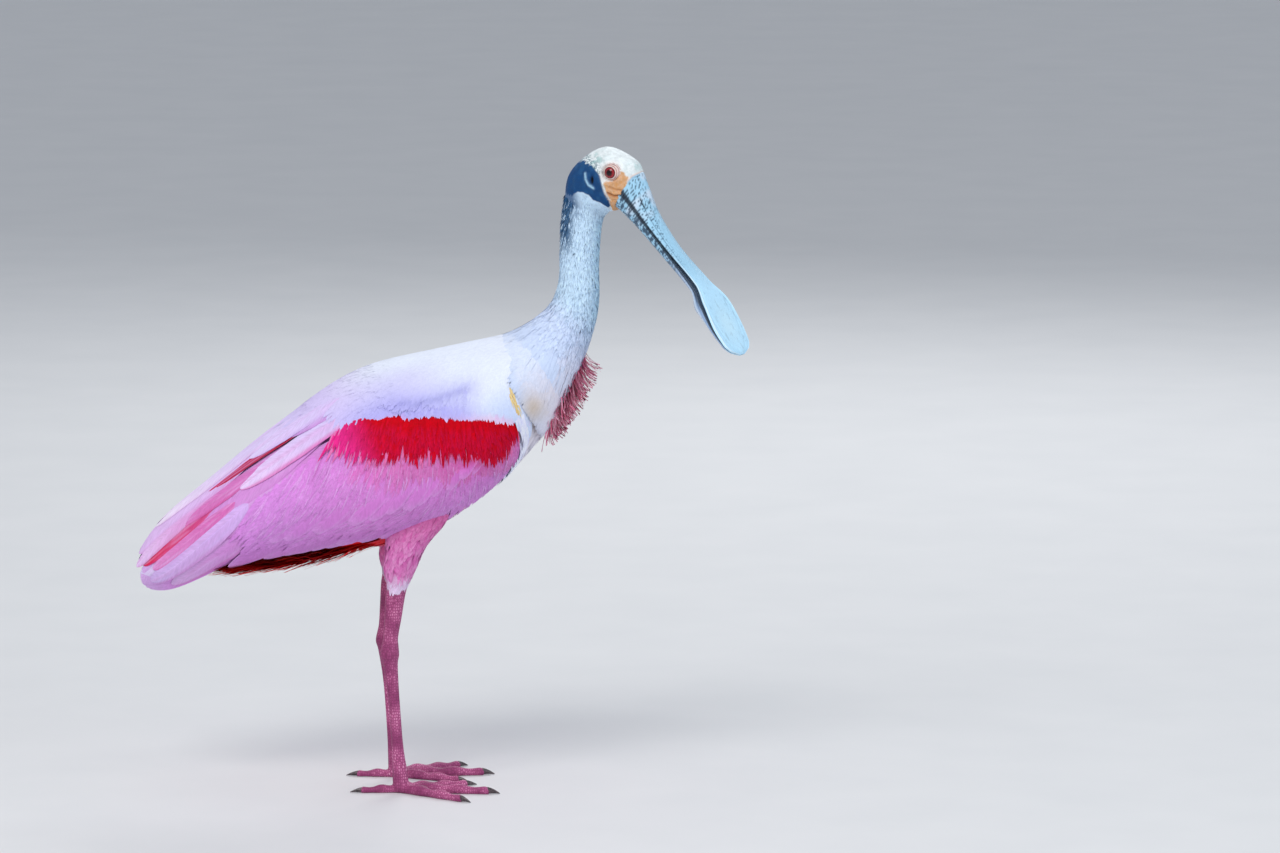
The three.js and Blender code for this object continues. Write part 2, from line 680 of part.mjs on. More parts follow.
// Egg-shaped cutter about a point: half sizes along an axis, across it and into the skin.
function egg(place, axis, sizes) {
  const into = new THREE.Vector3(0, 1, 0);
  const across = into.clone().cross(axis).normalize();
  const matrix = new THREE.Matrix4().makeBasis(
    axis.clone().multiplyScalar(sizes[0]),
    across.multiplyScalar(sizes[1]),
    into.multiplyScalar(sizes[2]),
  );
  const geometry = new THREE.SphereGeometry(1, 6, 5).applyMatrix4(matrix);
  const turn = new THREE.Matrix4().makeTranslation(-pivotX, 0, 0)
    .premultiply(new THREE.Matrix4().makeRotationZ(THREE.MathUtils.degToRad(-headTurn)))
    .premultiply(new THREE.Matrix4().makeTranslation(pivotX, 0, 0));
  geometry.translate(...place).applyMatrix4(turn);
  return solidFrom(geometry);
}

// Opening of the ear, a slit that leans forward, behind the eye.
const ear = (side) => egg([174, side * 18.2, 512.5], new THREE.Vector3(0.25, 0, 0.97), [3.6, 1, 2.2]);

// Corner of the mouth, a slit that runs on from the bill into the cheek.
function gape(side) {
  return egg([199.5, side * 14.5, 501.8], new THREE.Vector3(0.86, 0, -0.51), [7.5, 0.8, 4]);
}

const nostril = (side) => egg([220, side * 9.8, 493.5], new THREE.Vector3(0.6, 0, -0.8), [6.6, 1, 3]);

function head() {
  let whole = bodyLength(headSpan, 9, headSides);
  for (const side of [-1, 1]) {
    whole = whole.add(lids(side)).subtract(ball(eyeRadius + gap, side));
    whole = whole.subtract(ear(side)).subtract(gape(side));
  }
  return whole;
}

// Assembly
const lowerNeck = bodyLength(lowerNeckSpan, 5, neckSides);
const tailRoom = loft(tailRoomRows.map(([x, z, half, height]) => Array.from({ length: 14 }, (_, k) => {
  const a = (2 * Math.PI * k) / 14;
  return new THREE.Vector3(x, half * Math.sin(a), z + height * Math.cos(a));
})));
const midline = solidFrom(new THREE.BoxGeometry(700, 1, 700).translate(0, 0, 300));

addNode('torso', torso, materials.torso);
addNode('neck_lower', joined([lowerNeck, ...breastLocks()]).subtract(torsoRoom), materials.neck);
addNode('neck_upper', bodyLength(upperNeckSpan, 7, neckSides), materials.neck);
addNode('head', head(), materials.head);
addNode('bill_upper', billHalf(true).subtract(nostril(-1)).subtract(nostril(1)), materials.bill);
addNode('bill_lower', billHalf(false), materials.bill);
addNode('tail', tailWhole(), materials.tail);

for (const [side, name] of [[-1, 'right'], [1, 'left']]) {
  addNode(`eye_${name}`, ball(eyeRadius, side), materials.eye);
  const thigh = legPiece(thighRows, side, 6, 14).subtract(torsoRoom);
  const thighRoom = legPiece(thighRows, side, 6, 14, gap + 0.1);
  const wingRoom = joined([torsoRoom, thighRoom, tailRoom, midline]);
  addNode(`wing_${name}`, wing(side).subtract(wingRoom), materials.wing);
  addNode(`thigh_${name}`, thigh, materials.thigh);
  addNode(`shank_${name}`, legPiece(shankRows, side, 6, 10), materials.leg);
  addNode(`tarsus_${name}`, legPiece(tarsusRows, side, 8, 10), materials.leg);
  addNode(`foot_${name}`, foot(side), materials.leg);
  for (const [toeName, size] of Object.entries(toes)) {
    addNode(`claw_${toeName}_${name}`, claw(size, side), materials.claw);
  }
}

// The bird stands on Z = 0, with the middle of its box over the origin.
const box = new THREE.Box3().setFromObject(bird);
bird.position.set(-(box.min.x + box.max.x) / 2, -(box.min.y + box.max.y) / 2, -box.min.z);

const model = new THREE.Group();
model.add(bird);

export default model;
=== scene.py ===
import math
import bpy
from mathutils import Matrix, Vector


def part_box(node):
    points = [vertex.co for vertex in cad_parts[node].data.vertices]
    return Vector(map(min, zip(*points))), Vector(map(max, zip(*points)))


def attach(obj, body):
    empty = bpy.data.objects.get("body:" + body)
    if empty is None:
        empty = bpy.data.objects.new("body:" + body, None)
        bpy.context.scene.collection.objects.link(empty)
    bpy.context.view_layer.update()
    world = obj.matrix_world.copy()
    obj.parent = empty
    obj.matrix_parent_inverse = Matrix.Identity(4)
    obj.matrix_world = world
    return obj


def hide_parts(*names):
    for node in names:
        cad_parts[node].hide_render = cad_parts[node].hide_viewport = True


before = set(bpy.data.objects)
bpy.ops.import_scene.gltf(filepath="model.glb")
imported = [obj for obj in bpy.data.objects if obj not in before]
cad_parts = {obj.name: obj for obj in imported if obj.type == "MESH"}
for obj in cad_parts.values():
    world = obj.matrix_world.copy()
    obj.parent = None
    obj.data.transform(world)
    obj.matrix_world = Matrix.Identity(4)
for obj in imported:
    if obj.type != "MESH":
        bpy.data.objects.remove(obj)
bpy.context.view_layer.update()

from types import SimpleNamespace

import bpy
import numpy as np

print("frame loaded:", len(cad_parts), "nodes")

# A standing roseate spoonbill. Lengths are in millimetres in the maker's own frame: the bird faces +X,
# its right side is toward -Y and Z is up. meshFrom() moves every piece into the frame of the part.

# Body from rump to bill: back line x, z; belly line x, z; half width; turn of the head in degrees
body = dict(
    pivotX=157, turn=28,
    rows=[
        (-117, 241, -109, 206, 18, 0), (-81, 292, -52, 199, 44, 0), (-29, 335, 21, 211, 61, 0),
        (32, 359, 87, 256, 58.5, 0), (93, 379, 131, 304, 45, 0), (125, 399, 156, 353, 28, 0),
        (137, 420, 170, 399, 18.5, 0), (139, 449, 171, 441, 15.5, 0), (141, 482, 174, 474, 15.5, 4),
        (148.3, 516, 181, 483, 18, 22), (178, 537, 185, 484, 18.5, 28), (206, 528, 187, 485, 15.5, 28),
        (214, 517, 189, 485, 13.5, 28),
    ],
)

# Both folded wings as one hull, shoulder to tip: top line x, z; lower line x, z; half width
wings = dict(
    rows=[
        (93, 379, 129, 301, 50), (32, 365, 88, 256, 70), (-34, 346.5, 27, 214, 76), (-93, 307, -48, 199, 67),
        (-151, 260, -122, 186, 48), (-197, 221, -186, 164, 28), (-226, 178, -222, 171, 6),
    ],
)

eyes = dict(x=192.2, out=11.4, z=517.9, radius=7)
bothSides = ((-1, "right"), (1, "left"))


# Catmull-Rom curve through rows of numbers: half of 2b + (c - a)t + (2a - 5b + 4c - d)t2 and the term
# (3b - a - 3c + d)t3
def along(rows, station):
    rows = np.asarray(rows, float)
    ends = np.vstack([2 * rows[0] - rows[1], rows, 2 * rows[-1] - rows[-2]])
    station = np.asarray(station, float)
    i = np.clip(np.floor(station).astype(int), 0, len(rows) - 2)
    t = (station - i)[..., None]
    a, b, c, d = ends[i], ends[i + 1], ends[i + 2], ends[i + 3]
    return 0.5 * (2 * b + (c - a) * t + (2 * a - 5 * b + 4 * c - d) * t**2 + (3 * b - a - 3 * c + d) * t**3)


# Turn about the upright axis at the pivot: forward swings toward -Y
def turned(points, degrees=body["turn"]):
    points = np.asarray(points, float)
    a = np.radians(degrees)
    forward = points[..., 0] - body["pivotX"]
    x = body["pivotX"] + forward * np.cos(a) + points[..., 1] * np.sin(a)
    y = points[..., 1] * np.cos(a) - forward * np.sin(a)
    return np.stack([x, y, points[..., 2]], -1)


lowEye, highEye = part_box("eye_right")
eyeCentre = turned((eyes["x"], -eyes["out"], eyes["z"]))
# from the maker's frame to the part's, in mm: 500 is half of the millimetres in a metre
shift = (np.array(lowEye) + np.array(highEye)) * 500 - eyeCentre


def mix(a, b, t):
    return a + (b - a) * t


# Smooth step: 3x2 - 2x3 of the share of the way from low to high
def ease(x, low, high):
    t = np.clip((x - low) / (high - low), 0, 1)
    return t * t * (3 - 2 * t)


# The same from 1 at low down to 0 at high
def fade(x, low, high):
    return 1 - ease(x, low, high)


def bump(x, width):
    return np.exp(-((x / width) ** 2))


# Lattice noise between 0 and 1: eased blend of the hashed values at the eight corners round a point
def noise(points, size, seed=0):
    p = np.asarray(points, float) / size
    low = np.floor(p).astype(np.int64)
    f = p - low
    f = f * f * (3 - 2 * f)
    total = 0.0
    for corner in range(8):
        step = np.array([corner & 1, (corner >> 1) & 1, corner >> 2])
        n = (low + step) @ np.array([73856093, 19349663, 83492791]) + seed * 7919
        n = (n ^ (n >> 13)) * 1274126177 & 0x7FFFFFFF
        share = np.prod(np.where(step, f, 1 - f), -1)
        total = total + share * ((n ^ (n >> 16)) & 0xFFFF) / 65535
    return total


# Colour as the eye reads it, 0 to 255, made linear
def paint(r, g, b):
    c = np.array([r, g, b], float) / 255
    return np.where(c <= 0.04045, c / 12.92, ((c + 0.055) / 1.055) ** 2.4)


def blend(under, over, mask):
    return under + (over - under) * np.asarray(mask)[..., None]


# One colour after another over the first, each with its mask
def layered(tone, *coats):
    for over, mask in coats:
        tone = blend(tone, over, mask)
    return tone


# Signed distance to a closed outline of x, z corners, positive inside it, in the units of the corners
def insideBy(x, z, outline):
    corners = np.asarray(outline, float)
    nearest = np.full(np.shape(x), 1e9)
    inside = np.zeros(np.shape(x), bool)
    for (ax, az), (bx, bz) in zip(corners, np.roll(corners, -1, 0)):
        dx, dz = bx - ax, bz - az
        t = np.clip(((x - ax) * dx + (z - az) * dz) / (dx * dx + dz * dz), 0, 1)
        nearest = np.minimum(nearest, np.hypot(x - ax - t * dx, z - az - t * dz))
        crosses = ((az > z) != (bz > z)) & (x < ax + dx * (z - az) / (dz if dz else 1e-9))
        inside ^= crosses
    return np.where(inside, nearest, -nearest)


# Distance to an open line of x, z points
def awayFrom(x, z, line):
    nearest = np.full(np.shape(x), 1e9)
    for (ax, az), (bx, bz) in zip(line[:-1], line[1:]):
        dx, dz = bx - ax, bz - az
        t = np.clip(((x - ax) * dx + (z - az) * dz) / (dx * dx + dz * dz), 0, 1)
        nearest = np.minimum(nearest, np.hypot(x - ax - t * dx, z - az - t * dz))
    return nearest


def unit(vectors):
    return vectors / np.maximum(np.linalg.norm(vectors, axis=-1, keepdims=True), 1e-9)


# Arrays of two parameters over a grid
def spread(first, second):
    return np.meshgrid(first, second, indexing="ij")


def roundTurn(count):
    return np.linspace(0, 2 * math.pi, count, endpoint=False)


# Section of a hull: middle of its two lines plus half their distance times the cosine, width times the sine
def hullPoint(rows, station, degrees):
    r = along(rows, station)
    a = np.radians(degrees)
    x = mix(r[..., 2], r[..., 0], 0.5 + 0.5 * np.cos(a))
    z = mix(r[..., 3], r[..., 1], 0.5 + 0.5 * np.cos(a))
    return np.stack([x, r[..., 4] * np.sin(a), z], -1), r


# Body before the head is turned, and as it stands. Degrees run from the back down the left side.
def straightBody(station, degrees):
    return hullPoint(body["rows"], station, degrees)[0]


def bodyPoint(station, degrees):
    point, row = hullPoint(body["rows"], station, degrees)
    return turned(point, row[..., 5])


def wingPoint(station, degrees):
    return hullPoint(wings["rows"], station, degrees)[0]


# A surface that feathers grow on: its point function, the sign that turns its normal outward, and the
# low and high ends of its two parameters for the unwrap of the OFBake map
bodyCoat = dict(point=bodyPoint, sign=1, low=(-0.3, -180), high=(12.3, 180))
wingCoat = dict(point=wingPoint, sign=-1, low=(-0.3, -180), high=(6.3, 180))


# Point, outward normal and the lengths in mm of one unit of each parameter
def frameOn(surface, a, b):
    point = surface["point"]
    da, db = 0.01, 0.4
    alongA = (point(a + da, b) - point(a - da, b)) / (2 * da)
    aroundB = (point(a, b + db) - point(a, b - db)) / (2 * db)
    normal = unit(np.cross(alongA, aroundB) * surface["sign"])
    scaleA = np.maximum(np.linalg.norm(alongA, axis=-1), 1e-3)
    scaleB = np.maximum(np.linalg.norm(aroundB, axis=-1), 1e-3)
    return point(a, b), normal, scaleA, scaleB


def place(data, name):
    item = bpy.data.objects.new(name, data)
    bpy.context.scene.collection.objects.link(item)
    return item


# Mesh of triangles and quads from points in the maker's frame, with its finish, attributes and body
def meshFrom(name, points, faces, material, slot, replaces=(), tint=None, lie=None, bake=None, normals=None):
    points = np.asarray(points, float).reshape(-1, 3)
    placed = (points + shift) / 1000
    loops = np.concatenate([np.asarray(f, np.int64).ravel() for f in faces])
    sizes = np.concatenate([np.full(len(f), np.asarray(f).shape[1]) for f in faces])
    corners = [placed[np.asarray(f)[:, [0, 1, 2]]] for f in faces]
    corners += [placed[np.asarray(f)[:, [0, 2, 3]]] for f in faces if np.asarray(f).shape[1] == 4]
    a, b, c = np.moveaxis(np.concatenate(corners), 1, 0)
    if np.einsum("ij,ij->", np.cross(a, b), c) < 0:  # inside out
        loops = np.concatenate([np.asarray(f)[:, ::-1].ravel() for f in faces])
    mesh = bpy.data.meshes.new(name)
    mesh.vertices.add(len(placed))
    mesh.vertices.foreach_set("co", placed.astype(np.float32).ravel())
    mesh.loops.add(len(loops))
    mesh.loops.foreach_set("vertex_index", loops.astype(np.int32))
    mesh.polygons.add(len(sizes))
    mesh.polygons.foreach_set("loop_start", (np.cumsum(sizes) - sizes).astype(np.int32))
    mesh.update(calc_edges=True)
    mesh.polygons.foreach_set("use_smooth", np.ones(len(sizes), bool))
    if tint is not None:
        rgba = np.ones((len(placed), 4), np.float32)
        rgba[:, :3] = np.clip(np.asarray(tint).reshape(-1, 3), 0, 1)
        mesh.color_attributes.new("tint", "FLOAT_COLOR", "POINT").data.foreach_set("color", rgba.ravel())
    if lie is not None:
        values = np.asarray(lie, np.float32).reshape(-1)
        mesh.attributes.new("lie", "FLOAT_VECTOR", "POINT").data.foreach_set("vector", values)
    if bake is not None:
        uv = mesh.uv_layers.new(name="OFBake")
        uv.data.foreach_set("uv", np.asarray(bake, np.float32).reshape(-1, 2)[loops].ravel())
    if normals is not None:
        mesh.normals_split_custom_set_from_vertices(np.asarray(normals, np.float32).reshape(-1, 3))
    mesh.materials.append(material)
    piece = place(mesh, name)
    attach(piece, "root")
    if replaces:
        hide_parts(*replaces)
    return piece


# Quads between each ring of points and the one that follows it, given the first number of each
def ringQuads(here, onward, sides):
    k = np.arange(sides)
    after = (k + 1) % sides
    return np.stack([here + k, here + after, onward + after, onward + k], -1).reshape(-1, 4)


# Faces of a closed tube of rings of points, its ends closed by a fan about one more point each
def tubeFaces(rings, sides, first=0):
    k = np.arange(sides)
    starts = np.arange(rings - 1)[:, None] * sides + first
    quads = ringQuads(starts, starts + sides, sides)
    startHub, endHub = first + rings * sides, first + rings * sides + 1
    end = first + (rings - 1) * sides
    startFan = np.stack([np.full(sides, startHub), first + (k + 1) % sides, first + k], -1)
    endFan = np.stack([np.full(sides, endHub), end + k, end + (k + 1) % sides], -1)
    return quads, np.concatenate([startFan, endFan])


# Tube points with the two hubs of its ends added, and any values at its points carried on to the hubs
def withHubs(rings):
    start, end = rings[0].mean(0), rings[-1].mean(0)
    return np.concatenate([rings.reshape(-1, rings.shape[-1]), [start], [end]])


# What a form of vanes is unless its maker says otherwise. A form also gives width and shape, lift at its
# root, middle and tip, and the flow and length that a vane without a tip follows.
plainForm = dict(
    stations=5, columns=3,  # rings along a vane, points across each face
    spread=1.0, last=0.985,  # how the rings crowd toward the tip, and where the last one is
    stray=6.0, curl=0.0,  # degrees by which a vane leaves the flow at its root, and more toward its tip
    bend=0.0, bendBoth=True,  # sideways bow of a straight vane, to both sides or to one
    scale=1.0, vary=0.15, uneven=0.1, ragged=0.0,  # size, its spread, wavering edges, frayed tip in mm
    liftAt=(0, 0.35, 1), liftVary=0.3, stand=0.0, sink=0.0,  # height over the surface, in mm
    tilt=0.0, camber=0.12, thickness=0.3, blow=(0, 0, 0), soft=0.7,
)


# Parameters of vanes that follow a flow: step by step each goes on at the angle flow(a, b) in degrees from
# the growing first parameter toward the growing size of the second, plus a stray of its own
def flowing(surface, root, form, t, chance):
    length = np.broadcast_to(np.asarray(form.length, float), len(root))
    stray = form.stray * (2 * chance[:, 0] - 1)
    curl = form.curl * (2 * chance[:, 4] - 1)
    side = np.where(root[:, 1] < 0, -1, 1)
    here, path = root, [root]
    for before, after in zip(t[:-1], t[1:]):
        _, _, scaleA, scaleB = frameOn(surface, here[:, 0], here[:, 1])
        angle = np.radians(form.flow(here[:, 0], here[:, 1]) + stray + curl * after)
        step = (after - before) * length
        here = here + np.stack([step * np.cos(angle) / scaleA, side * step * np.sin(angle) / scaleB], -1)
        path.append(here)
    path = np.stack(path, 1)
    return path[..., 0], path[..., 1]


# Quads and end caps of closed vanes, each of some rings of points
def vaneFaces(count, stations, columns):
    ring = 2 * columns
    base = (np.arange(count)[:, None] * stations + np.arange(stations - 1)).reshape(-1, 1) * ring
    fan = np.arange(columns - 1)
    cap = np.stack([fan, fan + 1, ring - 2 - fan, ring - 1 - fan], -1)
    starts = np.arange(count)[:, None, None] * stations * ring
    caps = np.concatenate([cap[:, ::-1] + starts, cap + starts + (stations - 1) * ring], 1)
    return [ringQuads(base, base + ring, ring), caps.reshape(-1, 4)]


# Values of the upper faces of vanes, followed round each ring by those of the lower faces
def bothFaces(top, low=None):
    low = top if low is None else low
    return np.concatenate([top, low[:, :, ::-1]], 2)


# Vanes on a surface. A vane runs straight from root to tip in parameters, bent sideways by bend at its
# middle, or without a tip it follows a flow. Across it, columns are set off at right angles in mm.
# Height over the surface = lift along it + tilt to one side + camber that is highest in its middle.
# sink presses its root down and blow carries its tip off in x, y, z, both in mm.
# Its shading leans by soft from its own face toward the surface, so that neighbours melt together.
def vanes(name, surface, root, tip, form, colour, material, slot, seed, replaces=(), extra=None):
    form = SimpleNamespace(**{**plainForm, **form})
    rng = np.random.default_rng(seed)
    count, stations, columns = len(root), form.stations, form.columns
    t = np.sin(np.linspace(0, 1, stations) * math.pi / 2) ** form.spread
    t = t * form.last
    v = np.linspace(-1, 1, columns)
    root = np.asarray(root, float)
    chance = rng.random((count, 6))
    if tip is None:
        a, b = flowing(surface, root, form, t, chance)
    else:
        tip = np.asarray(tip, float)
        bend = np.asarray(form.bend) * (2 * chance[:, 0] - 1 if form.bendBoth else 1.0)
        a = root[:, None, 0] + (tip - root)[:, None, 0] * t
        b = root[:, None, 1] + (tip - root)[:, None, 1] * t + bend[:, None] * np.sin(np.pi * t)
    _, _, scaleA, scaleB = frameOn(surface, a, b)
    aheadA, aheadB = np.gradient(a, axis=1) * scaleA, np.gradient(b, axis=1) * scaleB
    long = np.maximum(np.hypot(aheadA, aheadB), 1e-9)
    aheadA, aheadB = (aheadA / long)[..., None], (aheadB / long)[..., None]
    scaleA, scaleB = scaleA[..., None], scaleB[..., None]

    half = 0.5 * form.width * np.asarray(form.scale) * (1 + form.vary * (2 * chance[:, 1] - 1))
    half = half[:, None] * form.shape(t)
    edge = 1 + form.uneven * (rng.random((count, stations, columns)) - 0.5)
    off = v * half[..., None] * edge
    gridA = a[..., None] - aheadB * off / scaleA
    gridB = b[..., None] + aheadA * off / scaleB
    if form.ragged:
        reach = form.ragged * (rng.random((count, 1, columns)) - 0.3) * (t**4)[None, :, None]
        gridA = gridA + reach * aheadA / scaleA
        gridB = gridB + reach * aheadB / scaleB

    lift = np.interp(t, form.liftAt, form.lift)
    rise = form.liftVary * (2 * chance[:, 2] - 1)
    standing = form.stand * chance[:, 3] ** 2
    height = lift + rise[:, None] * ease(t, 0, 0.3) + standing[:, None] * t**1.5
    if extra is not None:
        height = height + np.asarray(extra)[:, None] * ease(t, 0, 0.4)
    height = height - np.multiply.outer(np.broadcast_to(form.sink, count), fade(t, 0, 0.5))
    height = height[..., None] + form.tilt * off + form.camber * half[..., None] * (1 - v**2)
    thick = 0.5 * form.thickness * (1 - 0.7 * v**2) * (1 - 0.6 * t)[:, None]
    ground, normal, _, _ = frameOn(surface, gridA, gridB)
    gust = (t**2)[None, :, None, None] * (0.4 + chance[:, 4])[:, None, None, None]
    blown = gust * np.array(form.blow)
    top = ground + normal * (height + thick)[..., None] + blown
    low = ground + normal * (height - thick)[..., None] + blown

    middle = (top + low) / 2
    face = unit(np.cross(np.gradient(middle, axis=1), np.gradient(middle, axis=2)))
    face = face * np.sign(np.sum(face * normal, -1, keepdims=True) + 1e-9)
    face = unit(mix(face, normal, form.soft))
    spot = SimpleNamespace(
        a=gridA, b=gridB, t=t[None, :, None] + 0 * gridA, v=v + 0 * gridA, point=middle,
        rootA=root[:, 0, None, None] + 0 * gridA, rootB=root[:, 1, None, None] + 0 * gridA,
        chance=chance[:, :, None, None], index=np.arange(count)[:, None, None] + 0 * gridA.astype(int))
    tone = np.broadcast_to(colour(spot), gridA.shape + (3,))
    length = np.linalg.norm(middle[:, -1, columns // 2] - middle[:, 0, columns // 2], axis=-1)
    lie = np.stack([off, spot.t * length[:, None, None], 100 * chance[:, 5, None, None] + 0 * gridA], -1)
    lowest, highest = np.array(surface["low"]), np.array(surface["high"])
    share = (root - lowest) / (highest - lowest)
    patch = np.stack([spot.v * 0.0015, (spot.t - 0.5) * 0.003], -1) + share[:, None, None]
    faces = vaneFaces(count, stations, columns)
    points, normals = bothFaces(top, low), bothFaces(face, -face)
    tone, lie, patch = bothFaces(tone), bothFaces(lie), bothFaces(patch)
    return meshFrom(name, points, faces, material, slot, replaces, tone, lie, patch, normals)


# Outlines of vanes: half width along the length
def broadVane(t):
    return np.minimum(1, 0.35 + 1.9 * t) * np.sqrt(np.clip(1 - 0.97 * t**5, 0, 1))


def roundVane(t):
    return np.minimum(1, 0.3 + 1.6 * t) * np.sqrt(np.clip(1 - 0.98 * t**3.5, 0, 1))


def quillVane(t):
    return np.minimum(1, 0.3 + 1.6 * t) * np.sqrt(np.clip(1 - 0.996 * t**5, 0, 1))


def pointedVane(t):
    return np.minimum(1, 0.5 + 2.2 * t) * (1 - 0.93 * t**1.9)


def softVane(t):
    return np.minimum(1, 0.45 + 2.0 * t) * (1 - 0.85 * t**3)


# Roots spread evenly over a part of a surface: a low-discrepancy sequence, as dense as density(a, b) says
def scatter(surface, count, low, high, seed, density=None):
    i = np.arange(count * 6) + seed * 137.0
    a = low[0] + (high[0] - low[0]) * ((i * 0.7548776662) % 1)
    b = low[1] + (high[1] - low[1]) * ((i * 0.5698402910) % 1)
    _, _, scaleA, scaleB = frameOn(surface, a, b)
    weight = scaleA * scaleB * (1 if density is None else density(a, b))
    keep = np.random.default_rng(seed).random(len(a)) < weight * (count / weight.sum())
    return np.stack([a[keep], b[keep]], -1)


# Finishes

# Inputs set or linked, by the name or number of each socket
def setInputs(tree, node, inputs):
    for key, value in inputs.items():
        if isinstance(value, bpy.types.NodeSocket):
            tree.links.new(value, node.inputs[key])
        else:
            node.inputs[key].default_value = value


def put(tree, kind, inputs=None, **settings):
    node = tree.nodes.new(kind)
    for key, value in settings.items():
        setattr(node, key, value)
    setInputs(tree, node, inputs or {})
    return node


# Sum, difference and product, each of two sockets or numbers
def sumOf(tree, first, second):
    return put(tree, "ShaderNodeMath", {0: first, 1: second}, operation="ADD").outputs[0]


def less(tree, first, second):
    return put(tree, "ShaderNodeMath", {0: first, 1: second}, operation="SUBTRACT").outputs[0]


def times(tree, first, second):
    return put(tree, "ShaderNodeMath", {0: first, 1: second}, operation="MULTIPLY").outputs[0]


# Value carried smoothly from one range to another
def ramp(tree, value, low, high, start=0.0, end=1.0):
    inputs = {"Value": value, "From Min": low, "From Max": high, "To Min": start, "To Max": end}
    return put(tree, "ShaderNodeMapRange", inputs, interpolation_type="SMOOTHSTEP").outputs[0]


def brightened(tree, colour, factor):
    return put(tree, "ShaderNodeVectorMath", {0: colour, "Scale": factor}, operation="SCALE").outputs[0]


def blended(tree, factor, under, over):
    return put(tree, "ShaderNodeMix", {0: factor, 6: under, 7: over}, data_type="RGBA").outputs[2]


# Cloudy noise between 0 and 1 at a place
def clouds(tree, place, scale, detail):
    return put(tree, "ShaderNodeTexNoise", {"Vector": place, "Scale": scale, "Detail": detail}).outputs["Fac"]


def objectPlace(tree):
    return put(tree, "ShaderNodeTexCoord").outputs["Object"]


def newGroup(name, inputs, outputs):
    tree = bpy.data.node_groups.new(name, "ShaderNodeTree")
    for label, kind, value in inputs:
        socket = tree.interface.new_socket(name=label, in_out="INPUT", socket_type=f"NodeSocket{kind}")
        if value is not None:
            socket.default_value = value
    for label, kind in outputs:
        tree.interface.new_socket(name=label, in_out="OUTPUT", socket_type=f"NodeSocket{kind}")
    return tree, tree.nodes.new("NodeGroupInput").outputs, tree.nodes.new("NodeGroupOutput").inputs


def linkAll(tree, sockets, inputs):
    for label, socket in sockets.items():
        tree.links.new(socket, inputs[label])


# Barbs of a feather: fine lines that slant from the shaft to the edge and toward the tip, with a shaft
def makeBarbs():
    tree, given, out = newGroup(
        "barbs",
        [("Tint", "Color", None), ("Lie", "Vector", None), ("Fineness", "Float", 1.7),
         ("Contrast", "Float", 0.25), ("Shaft", "Float", 0.4)],
        [("Color", "Color"), ("Height", "Float"), ("Roughness", "Float")],
    )
    part = put(tree, "ShaderNodeSeparateXYZ", {0: given["Lie"]}).outputs
    aside = put(tree, "ShaderNodeMath", {0: part["X"], 1: 0.0}, operation="ABSOLUTE").outputs[0]
    slant = less(tree, part["Y"], times(tree, aside, 1.3))
    fine = put(tree, "ShaderNodeCombineXYZ", {
        "X": times(tree, slant, given["Fineness"]), "Y": times(tree, part["X"], 0.35), "Z": part["Z"]})
    coarse = put(tree, "ShaderNodeCombineXYZ", {
        "X": times(tree, slant, 0.35), "Y": times(tree, part["X"], 0.2), "Z": sumOf(tree, part["Z"], 31.0)})
    lines = clouds(tree, fine.outputs[0], 1.0, 2.0)
    clumps = clouds(tree, coarse.outputs[0], 1.0, 1.0)
    shaft = times(tree, ramp(tree, aside, 0.15, 0.5, 1.0, 0.0), given["Shaft"])
    shade = sumOf(tree, times(tree, lines, 0.55), times(tree, clumps, 0.45))
    swing = times(tree, ramp(tree, shade, 0.35, 0.65, -1.0, 0.55), given["Contrast"])
    factor = sumOf(tree, sumOf(tree, swing, 1.0), times(tree, shaft, 0.12))
    linkAll(tree, {"Color": brightened(tree, given["Tint"], factor),
                   "Height": sumOf(tree, lines, times(tree, shaft, 0.6)),
                   "Roughness": ramp(tree, lines, 0.3, 0.7, 0.58, 0.8)}, out)
    return tree


# Grain of bare skin: small cells with creases between them, over soft swellings
def makeGrain():
    tree, given, out = newGroup(
        "skinGrain",
        [("Cell", "Float", 900.0), ("Swell", "Float", 220.0)],
        [("Height", "Float"), ("Crease", "Float"), ("Mottle", "Float")],
    )
    place = objectPlace(tree)
    spacing = {"Vector": place, "Scale": given["Cell"]}
    cells = put(tree, "ShaderNodeTexVoronoi", spacing, feature="DISTANCE_TO_EDGE")
    crease = ramp(tree, cells.outputs["Distance"], 0.0, 0.22, 1.0, 0.0)
    swell = clouds(tree, place, given["Swell"], 4.0)
    height = less(tree, times(tree, swell, 1.6), times(tree, crease, 0.5))
    linkAll(tree, {"Height": height, "Crease": crease, "Mottle": swell}, out)
    return tree


barbs, grain = makeBarbs(), makeGrain()


def newMaterial(name, roughness, gloss=None, coat=None, coatRoughness=None):
    material = bpy.data.materials.new(name)
    material.use_nodes = True
    shader = material.node_tree.nodes["Principled BSDF"].inputs
    shader["Roughness"].default_value = roughness
    given = {"Specular IOR Level": gloss, "Coat Weight": coat, "Coat Roughness": coatRoughness}
    for label, value in given.items():
        if value is not None:
            shader[label].default_value = value
    return material, material.node_tree, shader


def attribute(tree, name, output):
    return put(tree, "ShaderNodeAttribute", attribute_name=name).outputs[output]


# Links the base colour, the roughness where it changes from place to place, and the bump
def finished(tree, shader, colour, rough, height, strength, depth):
    tree.links.new(colour, shader["Base Color"])
    if rough is not None:
        tree.links.new(rough, shader["Roughness"])
    node = put(tree, "ShaderNodeBump", {"Height": height, "Strength": strength, "Distance": depth})
    tree.links.new(node.outputs[0], shader["Normal"])


